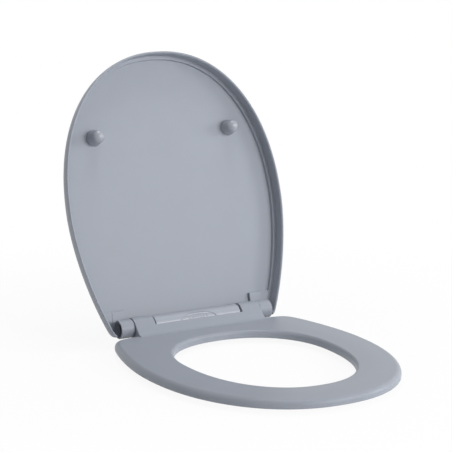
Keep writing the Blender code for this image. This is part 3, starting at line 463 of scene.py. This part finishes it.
section += [opening_outline(inset, z) for inset, z in hollow]
section += [ring_outline(inset, z) for inset, z in reversed(hollow)]
seat = skin_over(section, closed=True)

knuckle_radius, foot_radius = 15.4 * MM, 20 * MM
knuckle_start, knuckle_end, knuckle_soft = 76.8 * MM, 110.6 * MM, 0.8 * MM
ramp_foot, ramp_edge = Vector((-28 * MM, 20 * MM)), -14.7 * MM
sunk_rear, sunk_level = -18.2 * MM, 16.4 * MM
rise = axis_height - ramp_foot.y
slope = math.atan2(rise, -ramp_foot.x) + math.asin(knuckle_radius / math.hypot(ramp_foot.x, rise))
graph = bpy.context.evaluated_depsgraph_get()
ring_top = BVHTree.FromObject(seat, graph)


def foot_curve(x, inset, sink):
    """Hollow curve from the top of the ring up to the ramp."""
    reach = foot_radius * math.tan(slope / 2)
    hit = ring_top.ray_cast(Vector((x, ramp_foot.x - reach, 0.1)), Vector((0, 0, -1)))[0]
    level = hit.z - 0.03 * MM
    start = ramp_foot.x + (level - ramp_foot.y) / math.tan(slope) - reach
    radius = foot_radius + inset + sink
    turns = [slope * i / 12 for i in range(13)]
    return [(start + radius * math.sin(t), level + foot_radius - radius * math.cos(t)) for t in turns]


def knuckle_side(x, inset):
    """Side profile of a knuckle of the ring, down to where it ends inside the ring."""
    radius = knuckle_radius - inset
    first, last = slope + math.pi / 2, math.radians(-115)
    turns = [first + (last - first) * i / 72 for i in range(73)]
    foot = foot_curve(x, inset, 0)
    arc = [(radius * math.cos(t), axis_height + radius * math.sin(t)) for t in turns]
    return foot + arc + [(sunk_rear, sunk_level + inset), (foot[0][0], sunk_level + inset)]


def ramp_side(x):
    """Side profile of the ramp between the knuckles, with a rounded top edge."""
    sink, soft = 0.02 * MM, 1 * MM
    foot = foot_curve(x, 0, sink)
    middle = ramp_edge - soft
    height = ramp_foot.y + ((middle - ramp_foot.x) * math.sin(slope) - soft - sink) / math.cos(slope)
    turns = [(slope + math.pi / 2) * (1 - i / 12) for i in range(13)]
    top = [(middle + soft * math.cos(t), height + soft * math.sin(t)) for t in turns]
    return foot + top + [(sunk_rear, sunk_level), (foot[0][0], sunk_level)]


# The blocks that cut flats reach past any bore.
past_bore = 14 * MM
bore_radius, bore_flat, bore_start, bore_end = 8.4 * MM, 6.9 * MM, 75 * MM, 112 * MM
seat = combine(seat, side_run([(x * MM, ramp_side(x * MM)) for x in range(-80, 81, 4)]), "UNION")
for sign in (-1, 1):
    start, end = sign * knuckle_start, sign * knuckle_end
    near, far = rounded_ends(start, end, knuckle_soft)
    middle = [(start + (end - start) * i / 10, 0) for i in range(1, 10)]
    seat = combine(seat, side_run([(x, knuckle_side(x, inset)) for x, inset in near + middle + far]), "UNION")
for sign in (-1, 1):
    bore = axle(sign * bore_start, sign * bore_end, bore_radius)
    if sign > 0:
        flats = block((70 * MM, 120 * MM), (-past_bore, past_bore),
                      (axis_height - bore_flat, axis_height + bore_flat))
        bore = combine(bore, flats, "INTERSECT")
    seat = combine(seat, bore, "DIFFERENCE")


def ring_middle(angle):
    """Point on the middle line of the ring in a direction from its widest point."""
    across, along = math.cos(math.radians(angle)), math.sin(math.radians(angle))
    reach, power = (front_reach, front_power) if along >= 0 else (rear_reach, rear_power)
    outer = (abs(across / half_width) ** power + abs(along / reach) ** power) ** (-1 / power)
    inner = opening_reach(across, along)
    far, near = widest_at + outer * along, opening_middle + inner * along
    return Vector(((outer + inner) * across / 2, -(far + near) / 2, 0))


def spots(places, turns):
    """Loose points, each with the turn that the piece there gets about Z."""
    mesh = bpy.data.meshes.new("spots")
    mesh.from_pydata(places, [], [])
    mesh.attributes.new("turn", "FLOAT", "POINT").data.foreach_set("value", turns)
    return in_hand(mesh)


def new_geometry_tree(name, inputs):
    """A Geometry Nodes tree with a geometry input and the inputs named."""
    tree = bpy.data.node_groups.new(name, "GeometryNodeTree")
    tree.interface.new_socket(name="Geometry", in_out="INPUT", socket_type="NodeSocketGeometry")
    for key, kind in inputs.items():
        tree.interface.new_socket(name=key, in_out="INPUT", socket_type=kind)
    tree.interface.new_socket(name="Geometry", in_out="OUTPUT", socket_type="NodeSocketGeometry")
    return tree, tree.nodes.new("NodeGroupInput"), tree.nodes.new("NodeGroupOutput")


def set_on_spots(tree, ends, part):
    """Ends a tree: the part is set on each point, made real and given its material."""
    first, last = ends
    turn = add_node(tree, "GeometryNodeInputNamedAttribute", {"Name": "turn"}, data_type="FLOAT")
    rotation = add_node(tree, "ShaderNodeCombineXYZ", {"Z": turn.outputs["Attribute"]})
    copies = add_node(tree, "GeometryNodeInstanceOnPoints",
                      {"Points": first.outputs["Geometry"], "Instance": part,
                       "Rotation": rotation.outputs[0]})
    real = add_node(tree, "GeometryNodeRealizeInstances", {0: copies.outputs[0]})
    painted = add_node(tree, "GeometryNodeSetMaterial",
                       {"Geometry": real.outputs[0], "Material": first.outputs["Material"]})
    tree.links.new(painted.outputs[0], last.inputs["Geometry"])


def grown(item, tree, values):
    """Runs a tree on an object and returns the result as a plain mesh object."""
    modifier = item.modifiers.new("grow", "NODES")
    modifier.node_group = tree
    for socket in tree.interface.items_tree:
        if socket.in_out == "INPUT" and socket.name in values:
            modifier[socket.identifier] = values[socket.name]
    graph = bpy.context.evaluated_depsgraph_get()
    mesh = bpy.data.meshes.new_from_object(item.evaluated_get(graph))
    bpy.data.objects.remove(item)
    return in_hand(mesh)


seat_plastic = moulded("seat_plastic", (0.308, 0.331, 0.378), 0.36, 0.04 * MM,
                       {"Waves": 70, "Grains": 1500, "Wave Share": 0.85, "Grain Share": 0.15}, 0.08, 0.05,
                       specular=0.14)

rib_tree, rib_in, rib_out = new_geometry_tree("ring_ribs", {
    "Length": "NodeSocketFloat", "Thickness": "NodeSocketFloat", "Height": "NodeSocketFloat",
    "Material": "NodeSocketMaterial"})
rib_size = add_node(rib_tree, "ShaderNodeCombineXYZ",
                    {"X": rib_in.outputs["Length"], "Y": rib_in.outputs["Thickness"],
                     "Z": rib_in.outputs["Height"]})
rib = add_node(rib_tree, "GeometryNodeMeshCube", {"Size": rib_size.outputs[0]})
set_on_spots(rib_tree, (rib_in, rib_out), rib.outputs["Mesh"])
rib_angles, rib_middle = (8, 38, 82, 98, 142, 172), 13.95 * MM
rib_spots = spots([ring_middle(angle) + Vector((0, 0, rib_middle)) for angle in rib_angles],
                  [-math.radians(angle) for angle in rib_angles])
ribs = grown(rib_spots, rib_tree, {"Length": 57.8 * MM, "Thickness": 2.6 * MM, "Height": 7.3 * MM,
                                   "Material": seat_plastic})
seat = combine(seat, ribs, "UNION")
buffer_angles = {"rear_right": -12, "rear_left": 192, "front_right": 58, "front_left": 122}
boss_radius, boss_top, peg_hole_radius, peg_hole_top = 9 * MM, 17 * MM, 5.3 * MM, 13.1 * MM
for angle in buffer_angles.values():
    spot = ring_middle(angle)
    boss = round_bar(spot + Vector((0, 0, foot_level)), spot + Vector((0, 0, boss_top)), boss_radius, 48)
    seat = combine(seat, boss, "UNION")
    hole = round_bar(spot, spot + Vector((0, 0, peg_hole_top)), peg_hole_radius, 48)
    seat = combine(seat, hole, "DIFFERENCE")
finish_piece(seat, "seat_moulding", seat_plastic, "seat", ["seat"], angle=28)


# Seat buffers
# Four dark rubber feet, turned in shape, whose pegs push into sockets beneath the ring.
def lathe(profile, steps=64):
    """A turned solid from (radius, height) points, from the top of the axis round to its foot."""
    form = bmesh.new()
    chain = [form.verts.new((radius, 0, height)) for radius, height in profile]
    edges = [form.edges.new(pair) for pair in zip(chain, chain[1:])]
    bmesh.ops.spin(form, geom=chain + edges, cent=(0, 0, 0), axis=(0, 0, 1), angle=2 * math.pi, steps=steps)
    bmesh.ops.remove_doubles(form, verts=form.verts, dist=0.002 * MM)
    bmesh.ops.recalc_face_normals(form, faces=form.faces)
    return made_solid(form)


def corner(centre, radius, start, stop, steps=5):
    """Points round a rounded corner of a profile, from one angle to another in degrees."""
    turns = [math.radians(start + (stop - start) * i / steps) for i in range(steps + 1)]
    return [(centre[0] + radius * math.cos(t), centre[1] + radius * math.sin(t)) for t in turns]


set_tree, set_in, set_out = new_geometry_tree("like_pieces", {"Piece": "NodeSocketObject",
                                                              "Material": "NodeSocketMaterial"})
piece_info = add_node(set_tree, "GeometryNodeObjectInfo", {"Object": set_in.outputs["Piece"]})
set_on_spots(set_tree, (set_in, set_out), piece_info.outputs["Geometry"])

dark_rubber = moulded("dark_rubber", (0.05, 0.05, 0.054), 0.62, 0.03 * MM,
                      {"Waves": 200, "Grains": 3200, "Wave Share": 0.3, "Grain Share": 0.7}, 0.35, 0.25,
                      specular=0.35)
peg_radius, peg_top, head_radius, head_top = 5 * MM, 12.2 * MM, 10 * MM, 6.7 * MM
foot_profile = [(0, peg_top)] + corner((peg_radius - MM, peg_top - MM), MM, 90, 0) + [(peg_radius, head_top)]
foot_profile += corner((head_radius - 0.8 * MM, head_top - 0.8 * MM), 0.8 * MM, 90, 0)
foot_profile += corner((head_radius - 2 * MM, 2 * MM), 2 * MM, 0, -90, 8) + [(0, 0)]
rubber_foot = lathe(foot_profile)
buffer_spots = spots([ring_middle(angle) for angle in buffer_angles.values()], [0.0] * 4)
buffers = grown(buffer_spots, set_tree, {"Piece": rubber_foot, "Material": dark_rubber})
bpy.data.objects.remove(rubber_foot)
finish_piece(buffers, "seat_buffers", dark_rubber, "seat", ["seat_buffer_" + name for name in buffer_angles])


# Lid
# A thin oval tray in the same plastic as the ring, with a rounded shoulder outside and a fine step round
# its inner panel. Two raised plates carry the knuckles it turns on. It is drawn shut, then leaned back.
lid_open = Matrix.Translation((0, 0, axis_height)) @ Matrix.Rotation(math.radians(-107.4), 4, "X")
lid_open = lid_open @ Matrix.Translation((0, 0, -axis_height))
lid_rim, lid_depth, lid_crown = 21.6 * MM, 28.2 * MM, 1.2 * MM
lid_overhang, lid_rear, lid_corner_power, lid_shoulder = 2 * MM, -10 * MM, 70, 20 * MM
lid_turns = directions(lid_rear - lid_overhang)


def lid_outline(inset, depth):
    """The lid's outer line, drawn in by an inset, at a depth above its rim."""
    return body_outline(lid_overhang - inset, lid_rear, lid_corner_power, lid_rim + depth, lid_turns)


loops = []
for inset in (150, 120, 100, 84, 70, 58, 47, 38, 30, 24):
    rise = 1 - (max(120 - inset, 0) / 100) ** 2.5
    loops.append(lid_outline(inset * MM, lid_depth + lid_crown * rise))
for i in range(19):
    turn = math.pi / 2 * (1 - i / 19)
    reach = (math.cos(turn) ** 3 + math.sin(turn) ** 3) ** (-1 / 3)
    loops.append(lid_outline(lid_shoulder * (1 - reach * math.cos(turn)), lid_depth * reach * math.sin(turn)))
# From the edge inwards, in mm: the rounded rim, the soft lip, the wall, the ledge and step, and the panel.
rim, rim_round, lip_width, lip_height = [], 1.1, 2.5, 3.8
for turn in quarter(5)[1:]:
    rim.append((rim_round - rim_round * math.cos(turn), rim_round - rim_round * math.sin(turn)))
for turn in quarter(8)[1:]:
    rim.append((rim_round + lip_width * math.sin(turn), lip_height - lip_height * math.cos(turn)))
rim += [(3.66, 12), (3.7, 17.3), (3.85, 17.9), (4.2, 18.22), (4.6, 18.3), (8.9, 18.3), (9.2, 18.4),
        (9.32, 18.7), (9.6, 22.2), (9.75, 22.7), (10.1, 22.95), (10.7, 23), (20, 23), (60, 23), (120, 23),
        (150, 23)]
loops += [lid_outline(inset * MM, depth * MM) for inset, depth in rim]
lid = skin_over(loops)
rear_gap = block((-138 * MM, 138 * MM), (-3 * MM, 52 * MM), (lid_rim - 2 * MM, lid_rim + 22.8 * MM))
lid = combine(lid, rear_gap, "DIFFERENCE")
inner_form = [(121.2, 28.2), (40, 27.5), (21.2, 27), (10, 25.5), (5, 22), (2.2, 14), (1.2, 2), (1.2, -20)]
form_loops = [lid_outline(inset * MM, depth * MM) for inset, depth in inner_form]
lid_knuckle_start, lid_knuckle_end, lid_knuckle_radius = 111.4 * MM, 133.2 * MM, 14.2 * MM
plate_front, plate_level, plate_soft = -29 * MM, lid_rim + 18 * MM, 1.9 * MM


def bracket_side(inset):
    """Side profile of a lid knuckle and the raised plate that carries it."""
    radius, front, top = lid_knuckle_radius - inset, plate_front + inset, lid_rim + 23 * MM
    first = math.pi - math.asin((plate_level - axis_height) / radius)
    turns = [first + (math.radians(420) - first) * i / 64 for i in range(65)]
    arc = [(radius * math.cos(t), axis_height + radius * math.sin(t)) for t in turns]
    y, z = front + plate_soft, plate_level + plate_soft
    edge = [(y - plate_soft * math.cos(t), z - plate_soft * math.sin(t)) for t in quarter(6)]
    return arc + [(4 * MM, top), (0, top + 1.5 * MM), (front, top + 1.5 * MM)] + edge


web_side = [(y * MM, lid_rim + depth * MM) for y, depth in
            ((-28.5, 18.4), (0, 18.4), (4, 22), (-1, 24), (-28.5, 24))]
for sign in (-1, 1):
    start, end = sign * lid_knuckle_start, sign * lid_knuckle_end
    near, far = rounded_ends(start, end, knuckle_soft)
    bracket = side_run([(x, bracket_side(inset)) for x, inset in near + far])
    web = side_run([(end - sign * MM, web_side), (sign * half_width, web_side)])
    web = combine(web, skin_over(form_loops), "INTERSECT")
    lid = combine(lid, combine(bracket, web, "UNION"), "UNION")
# The left knuckle's recess has two flats, which key the damper's case.
recess_radius, recess_flat, recess_wall, flats_end = 12.2 * MM, 9.9 * MM, 5.2 * MM, -126 * MM
for sign in (-1, 1):
    start, end = sign * lid_knuckle_start, sign * lid_knuckle_end
    recess = axle(start + sign * recess_wall, end + sign * 5 * MM, recess_radius)
    if sign < 0:
        for face in (-1, 1):
            key = block((start, flats_end), (-past_bore, past_bore),
                        (axis_height + face * recess_flat, axis_height + face * past_bore))
            recess = combine(recess, key, "DIFFERENCE")
    lid = combine(lid, recess, "DIFFERENCE")
    lid = combine(lid, axle(start - sign * 0.5 * MM, end, bore_radius), "DIFFERENCE")
lid.data.transform(lid_open)
finish_piece(lid, "lid_moulding", seat_plastic, "lid", ["lid"], angle=28)


# Lid buffers
# Two grey rubber domes that slip over pegs inside the lid and meet the ring when the lid is shut.
lid_rubber = moulded("lid_rubber", (0.322, 0.345, 0.39), 0.27, 0.02 * MM,
                     {"Waves": 160, "Grains": 2600, "Wave Share": 0.4, "Grain Share": 0.6}, 0.3, 0.1)
buffer_angle, buffer_inward = 40, 13.6 * MM
buffer_place = ring_middle(buffer_angle) - Vector((buffer_inward, 0, 0))
dome_top, dome_tip, dome_radius, tip_radius = lid_rim + 22.7 * MM, 20.5 * MM, 12.8 * MM, 10.6 * MM
dome = [(0, dome_top)] + corner((dome_radius - 0.6 * MM, dome_top - 0.6 * MM), 0.6 * MM, 90, 0)
dome += corner((0, dome_tip + tip_radius), tip_radius, 6, -89.9, 18) + [(0, dome_tip)]
rubber_dome = lathe(dome)
dome_spots = spots([(sign * buffer_place.x, buffer_place.y, 0) for sign in (-1, 1)], [0.0, 0.0])
domes = grown(dome_spots, set_tree, {"Piece": rubber_dome, "Material": lid_rubber})
bpy.data.objects.remove(rubber_dome)
domes.data.transform(lid_open)
finish_piece(domes, "lid_buffers", lid_rubber, "lid", ["lid_buffer_left", "lid_buffer_right"],
             angle=40)


# Hinge bar
# A satin moulded cover, round on top and open beneath, with a half oval window for the button and a
# flatted socket in each end for a damper's shaft.
bar_plastic = moulded("bar_plastic", (0.343, 0.368, 0.418), 0.3, 0.02 * MM,
                      {"Waves": 120, "Grains": 2200, "Wave Share": 0.5, "Grain Share": 0.5}, 0.3, 0.05)
bar_half_length, bar_radius, bar_foot, bar_soft = 74.6 * MM, 14 * MM, 6.9 * MM, 0.9 * MM
bar_hollow_half_length, bar_hollow_radius, bar_hollow_foot = 71.6 * MM, 11.8 * MM, 2 * MM
screw_x, screw_y = 38 * MM, 8.5 * MM
button_half_width, button_chord, button_rise, past_bar = 32 * MM, -6.3 * MM, 12 * MM, 30 * MM
button_frame = Matrix.Translation((0, 0, axis_height)) @ Matrix.Rotation(math.radians(55), 4, "X")


def bar_side(radius, low):
    """Side profile of the bar: round on top, straight down to a low edge."""
    turns = [math.pi * i / 60 for i in range(61)]
    arc = [(radius * math.cos(t), axis_height + radius * math.sin(t)) for t in turns]
    return arc + [(-radius, low), (radius, low)]


def half_oval(grow, near):
    """The button's outline, grown and run outwards, from near the hinge axis to past the bar."""
    turns = [math.pi * i / 48 for i in range(49)]
    across, along = button_half_width + grow, button_rise + 2 * grow
    outline = [(across * math.cos(t), button_chord - grow + along * math.sin(t)) for t in turns]
    loops = [[button_frame @ Vector((x, y, depth)) for x, y in outline] for depth in (near, past_bar)]
    return skin_over(loops)


near, far = rounded_ends(-bar_half_length, bar_half_length, bar_soft)
housing = side_run([(x, bar_side(bar_radius - inset, bar_foot)) for x, inset in near + far])
bar_hollow = side_run([(x, bar_side(bar_hollow_radius, bar_hollow_foot))
                       for x in (-bar_hollow_half_length, bar_hollow_half_length)])
housing = combine(housing, bar_hollow, "DIFFERENCE")
shaft_radius, shaft_flat, fit_gap = 4 * MM, 2.9 * MM, 0.3 * MM


def shaft_form(x0, x1, grow=0.0):
    """A length of a damper's shaft, round with two flats."""
    shaft = axle(x0, x1, shaft_radius + grow, 48)
    flat = shaft_flat + grow
    flats = block((x0, x1), (-past_bore, past_bore), (axis_height - flat, axis_height + flat))
    return combine(shaft, flats, "INTERSECT")


socket_start, socket_end, socket_radius = 64.2 * MM, 72.6 * MM, 7 * MM
socket_web, socket_web_height = 1.5 * MM, 12.8 * MM
screw_boss_foot, screw_boss_radius = 10.5 * MM, 2.9 * MM
screw_hole_top, screw_hole_radius = 19.6 * MM, 1.7 * MM
for sign in (-1, 1):
    inner, outer = sign * socket_start, sign * socket_end
    socket = axle(inner, outer, socket_radius, 48)
    web = block((inner, outer), (-socket_web, socket_web), (axis_height, axis_height + socket_web_height))
    housing = combine(housing, combine(socket, web, "UNION"), "UNION")
    housing = combine(housing, shaft_form(sign * 63 * MM, sign * 75.6 * MM, fit_gap), "DIFFERENCE")
    for row in (-1, 1):
        x, y = sign * screw_x, row * screw_y
        high = axis_height + math.sqrt(bar_hollow_radius ** 2 - y ** 2) + 0.3 * MM
        boss = round_bar((x, y, screw_boss_foot), (x, y, high), screw_boss_radius, 32)
        housing = combine(housing, boss, "UNION")
        hole = round_bar((x, y, 0), (x, y, screw_hole_top), screw_hole_radius, 24)
        housing = combine(housing, hole, "DIFFERENCE")
window_near, rebate_width, rebate_radius, past_button = 2 * MM, 1.3 * MM, 13.3 * MM, 60 * MM
housing = combine(housing, half_oval(fit_gap, window_near), "DIFFERENCE")
rebate = half_oval(rebate_width, window_near)
rebate = combine(rebate, axle(-past_button, past_button, rebate_radius), "DIFFERENCE")
housing = combine(housing, rebate, "DIFFERENCE")
finish_piece(housing, "hinge_bar_cover", bar_plastic, "hinge", ["hinge_housing"], angle=30)


# Release button
# A curved cap in the same satin plastic, set in the bar's window. Its stem carries the wedge that
# pushes the two latches apart. The thumb pad is left plain but for a row of grip ribs.
def in_button_frame(x, q, depth):
    """A box as wide as twice x, placed square to the button and by its depth below the hinge axis."""
    item = block((-x, x), q, (-depth[0], -depth[1]))
    item.data.transform(button_frame)
    return item


cap_radius, lip_radius, pad_radius, cap_hollow_radius = 14.5 * MM, 11.5 * MM, 13.2 * MM, 9.9 * MM
thumb_height, thumb_radius, rim_width = 40.6 * MM, 27.4 * MM, 2.2 * MM
cap = combine(axle(-50 * MM, 50 * MM, cap_radius, 160), half_oval(0, 4 * MM), "INTERSECT")
thumb_start, thumb_end = (button_frame @ Vector((x, -1 * MM, thumb_height)) for x in (-90 * MM, 90 * MM))
cap = combine(cap, round_bar(thumb_start, thumb_end, thumb_radius, 160), "DIFFERENCE")
lip = combine(axle(-50 * MM, 50 * MM, lip_radius, 160), half_oval(1.5 * MM, 3 * MM), "INTERSECT")
cap = combine(cap, lip, "UNION")
cap = combine(cap, axle(-past_button, past_button, cap_hollow_radius, 120), "DIFFERENCE")
pad = half_oval(-rim_width, 11 * MM)
pad = combine(pad, axle(-past_button, past_button, pad_radius, 160), "DIFFERENCE")
cap = combine(cap, pad, "DIFFERENCE")
grip_height, grip_radius = 12.6 * MM, 1 * MM
for x in spread(-15 * MM, 20 * MM, 5 * MM):
    foot, head = (button_frame @ Vector((x, q, grip_height)) for q in (-6 * MM, 2 * MM))
    cap = combine(cap, round_bar(foot, head, grip_radius, 24), "UNION")
stem_half_width, wedge_half_width, wedge_half_tip, wedge_depth = 10 * MM, 24 * MM, 8 * MM, 11.2 * MM
stem = in_button_frame(stem_half_width, (-3.5 * MM, 3.5 * MM), (-10.4 * MM, 0))
arm = in_button_frame(stem_half_width, (-8 * MM, 3 * MM), (-6 * MM, MM))
stem = combine(stem, arm, "UNION")
wedge = skin_over([[button_frame @ Vector(point) for point in
                    ((-wedge_half_width, q, 0), (wedge_half_width, q, 0),
                     (wedge_half_tip, q, -wedge_depth), (-wedge_half_tip, q, -wedge_depth))]
                   for q in (-9 * MM, -4 * MM)])
button = combine(cap, combine(stem, wedge, "UNION"), "UNION")
finish_piece(button, "release_button_cap", bar_plastic, "button", ["release_button"], angle=30)


# Hinge base
# A black nylon plate, screwed to the bar from beneath. Its foot stands on the bowl and its two sleeves
# drop over the fixing posts.
black_nylon = moulded("black_nylon", (0.03, 0.03, 0.033), 0.42, 0.02 * MM,
                      {"Waves": 150, "Grains": 2800, "Wave Share": 0.2, "Grain Share": 0.8}, 0.5, 0.3)


def smooth_copy(node):
    """A merged copy of a CAD node, to be shaded smooth."""
    form = bmesh.new()
    form.from_mesh(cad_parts[node].data)
    bmesh.ops.remove_doubles(form, verts=form.verts, dist=0.002 * MM)
    bmesh.ops.dissolve_limit(form, angle_limit=math.radians(0.3), verts=form.verts, edges=form.edges)
    return made_solid(form)


finish_piece(smooth_copy("hinge_base"), "base_plate", black_nylon, "hinge", ["hinge_base"])


# Housing screws
# Four small plated screws with slotted pan heads, put in from beneath to hold the base to the bar.
def steel(name, colour, roughness, rings):
    """Bare metal with the fine lines of turning or drawing."""
    material = bpy.data.materials.new(name)
    material.use_nodes = True
    tree = material.node_tree
    shader = tree.nodes["Principled BSDF"]
    shader.inputs["Metallic"].default_value = 1
    place = on_piece(tree)
    stretched = add_node(tree, "ShaderNodeMapping", {"Vector": place, "Scale": rings})
    lines = noise(tree, stretched.outputs[0], 1, 3)
    tarnish = noise(tree, place, 260, 4)
    worn = place_group(tree, rub, {"Amount": 0.4}).outputs[0]
    dull = tuple(value * 0.72 for value in colour)
    base = mixed(tree, tarnish, (*colour, 1), (*dull, 1))
    base = mixed(tree, worn, base, (0.8, 0.8, 0.8, 1))
    tree.links.new(base, shader.inputs["Base Color"])
    gloss = math_node(tree, "MULTIPLY_ADD", lines, 0.2, roughness - 0.1)
    tree.links.new(gloss, shader.inputs["Roughness"])
    bump = add_node(tree, "ShaderNodeBump", {"Height": lines, "Strength": 0.6, "Distance": 0.01 * MM})
    tree.links.new(bump.outputs[0], shader.inputs["Normal"])
    return material


screw_steel = steel("screw_steel", (0.58, 0.57, 0.54), 0.34, (900, 900, 2600))
core_radius, thread_radius, under_head, pitch = 1.15 * MM, 1.4 * MM, 8.1 * MM, 0.8
screw_profile = [(0, 17.6 * MM), (0.5 * MM, 17.6 * MM), (0.9 * MM, 17.2 * MM)]
for i in range(11):
    screw_profile += [(core_radius, (16.7 - pitch * i) * MM), (thread_radius, (16.3 - pitch * i) * MM)]
screw_profile += [(thread_radius, under_head), (2.5 * MM, under_head)]
screw_profile += corner((2 * MM, 7.4 * MM), 0.8 * MM, 60, -90, 8) + [(0, 6.6 * MM)]
screw = lathe(screw_profile, 32)
screw_slot = block((-0.4 * MM, 0.4 * MM), (-3 * MM, 3 * MM), (6 * MM, 7.3 * MM))
screw = combine(screw, screw_slot, "DIFFERENCE")
screw_places = [(x, y, 0) for x in (-screw_x, screw_x) for y in (-screw_y, screw_y)]
screw_spots = spots(screw_places, [0.3, 1.2, 2.2, 0.8])
screws = grown(screw_spots, set_tree, {"Piece": screw, "Material": screw_steel})
bpy.data.objects.remove(screw)
screw_nodes = ["housing_screw_" + end + "_" + side
               for end in ("front", "rear") for side in ("left", "right")]
finish_piece(screws, "housing_screws", screw_steel, "hinge", screw_nodes)


# Soft close dampers
# Each is a black nylon case, keyed to the lid on the left and to the ring on the right, that turns
# slowly in oil on a flatted steel shaft. The shaft is held in the end of the bar.
shaft_steel = steel("shaft_steel", (0.6, 0.6, 0.6), 0.28, (2400, 500, 500))
flats_from, flats_to, round_from, round_to = 64.5 * MM, 75.1 * MM, 74.9 * MM, 94.6 * MM
for side, sign, body in (("left", -1, "lid"), ("right", 1, "seat")):
    finish_piece(smooth_copy("damper_case_" + side), "damper_body_" + side, black_nylon, body,
                 ["damper_case_" + side])
    shaft_round = axle(sign * round_from, sign * round_to, shaft_radius, 48)
    shaft = combine(shaft_form(sign * flats_from, sign * flats_to), shaft_round, "UNION")
    finish_piece(shaft, "damper_axle_" + side, shaft_steel, "hinge", ["damper_shaft_" + side])


# Latches and their springs
# Two white acetal plates slide on the base and hold the necks of the posts. A small coil spring of
# round wire behind each pushes it home. The real spring is pressed flat against the bar's end as the
# plate moves out; this coil keeps its shape.
white_acetal = moulded("white_acetal", (0.72, 0.72, 0.7), 0.38, 0.02 * MM,
                       {"Waves": 150, "Grains": 2400, "Wave Share": 0.4, "Grain Share": 0.6}, 0.2, 0.2)
spring_steel = steel("spring_steel", (0.5, 0.5, 0.5), 0.3, (700, 700, 700))
coil_start, coil_level = 64.15 * MM, 14.1 * MM
coil_tree, coil_in, coil_out = new_geometry_tree("coil_spring", {
    "Turns": "NodeSocketFloat", "Radius": "NodeSocketFloat", "Length": "NodeSocketFloat",
    "Wire Radius": "NodeSocketFloat", "Material": "NodeSocketMaterial"})
coil = add_node(coil_tree, "GeometryNodeCurveSpiral",
                {"Resolution": 32, "Rotations": coil_in.outputs["Turns"],
                 "Start Radius": coil_in.outputs["Radius"], "End Radius": coil_in.outputs["Radius"],
                 "Height": coil_in.outputs["Length"]})
wire = add_node(coil_tree, "GeometryNodeCurvePrimitiveCircle",
                {"Resolution": 10, "Radius": coil_in.outputs["Wire Radius"]}, mode="RADIUS")
swept = add_node(coil_tree, "GeometryNodeCurveToMesh",
                 {"Curve": coil.outputs[0], "Profile Curve": wire.outputs[0], "Fill Caps": True})
coil_real = add_node(coil_tree, "GeometryNodeRealizeInstances", {0: swept.outputs[0]})
coil_painted = add_node(coil_tree, "GeometryNodeSetMaterial",
                        {"Geometry": coil_real.outputs[0], "Material": coil_in.outputs["Material"]})
coil_tree.links.new(coil_painted.outputs[0], coil_out.inputs["Geometry"])
for side, sign in (("left", -1), ("right", 1)):
    finish_piece(smooth_copy("latch_" + side), "latch_plate_" + side, white_acetal, "latch_" + side,
                 ["latch_" + side])
    spring = grown(spots([(0, 0, 0)], [0.0]), coil_tree,
                   {"Turns": 4.0, "Radius": 2.5 * MM, "Length": 6.9 * MM, "Wire Radius": 0.25 * MM,
                    "Material": spring_steel})
    laid_over = Matrix.Rotation(sign * math.pi / 2, 4, "Y")
    spring.data.transform(Matrix.Translation((sign * coil_start, 0, coil_level)) @ laid_over)
    finish_piece(spring, "latch_coil_" + side, spring_steel, "latch_" + side, ["latch_spring_" + side],
                 angle=60)
    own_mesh(spring)


# Fixings
# On each side a steel post stands off centre in a round acetal plate on a thin rubber gasket. The plate
# is bolted through the bowl and swings about the post to suit the holes.
post_profile = [(radius * MM, height * MM) for radius, height in
                ((0, 19.3), (2.6, 19.3), (4.4, 17.6), (4.6, 17.3), (4.6, 16.4), (4.4, 16.2),
                 (3.2, 16.2), (3.2, 12.7), (4.6, 12.7), (5, 12.3), (5, 3.9), (7.3, 3.9), (7.5, 3.7),
                 (7.5, 2.4), (7.3, 2.2), (0, 2.2))]
post_x, plate_x, bolt_x = 58 * MM, 67.75 * MM, 77.5 * MM
plate_radius, plate_top, plate_foot, past_plate = 20 * MM, 6.2 * MM, 1.9 * MM, 8 * MM
flange_recess_top, flange_recess_radius = 4.2 * MM, 7.8 * MM
post_hole_radius, bolt_hole_radius = 5.3 * MM, 3.4 * MM
gasket_radius, gasket_top, gasket_hole_radius = 21 * MM, 1.6 * MM, 4.4 * MM
for side, sign in (("left", -1), ("right", 1)):
    body = "fixing_" + side
    pivot, centre, bolt = (Vector((sign * x, 0, 0)) for x in (post_x, plate_x, bolt_x))
    post = lathe(post_profile, 48)
    post.data.transform(Matrix.Translation(pivot))
    finish_piece(post, "post_" + side, shaft_steel, body, ["fixing_post_" + side])
    plate = lathe([(0, plate_top)] +
                  corner((plate_radius - 0.8 * MM, plate_top - 0.8 * MM), 0.8 * MM, 90, 0) +
                  corner((plate_radius - 0.4 * MM, plate_foot + 0.4 * MM), 0.4 * MM, 0, -90) +
                  [(0, plate_foot)], 96)
    plate.data.transform(Matrix.Translation(centre))
    for foot, height, radius in ((pivot, flange_recess_top, flange_recess_radius),
                                 (pivot, past_plate, post_hole_radius), (bolt, past_plate, bolt_hole_radius)):
        hole = round_bar(foot, foot + Vector((0, 0, height)), radius)
        plate = combine(plate, hole, "DIFFERENCE")
    finish_piece(plate, "plate_" + side, white_acetal, body, ["fixing_plate_" + side])
    pad = lathe([(0, gasket_top)] +
                corner((gasket_radius - 0.2 * MM, gasket_top - 0.2 * MM), 0.2 * MM, 90, 0, 3) +
                corner((gasket_radius - 0.2 * MM, 0.2 * MM), 0.2 * MM, 0, -90, 3) + [(0, 0)], 96)
    pad.data.transform(Matrix.Translation(centre))
    hole = round_bar(bolt - Vector((0, 0, MM)), bolt + Vector((0, 0, 3 * MM)), gasket_hole_radius)
    pad = combine(pad, hole, "DIFFERENCE")
    finish_piece(pad, "gasket_" + side, dark_rubber, body, ["fixing_gasket_" + side])
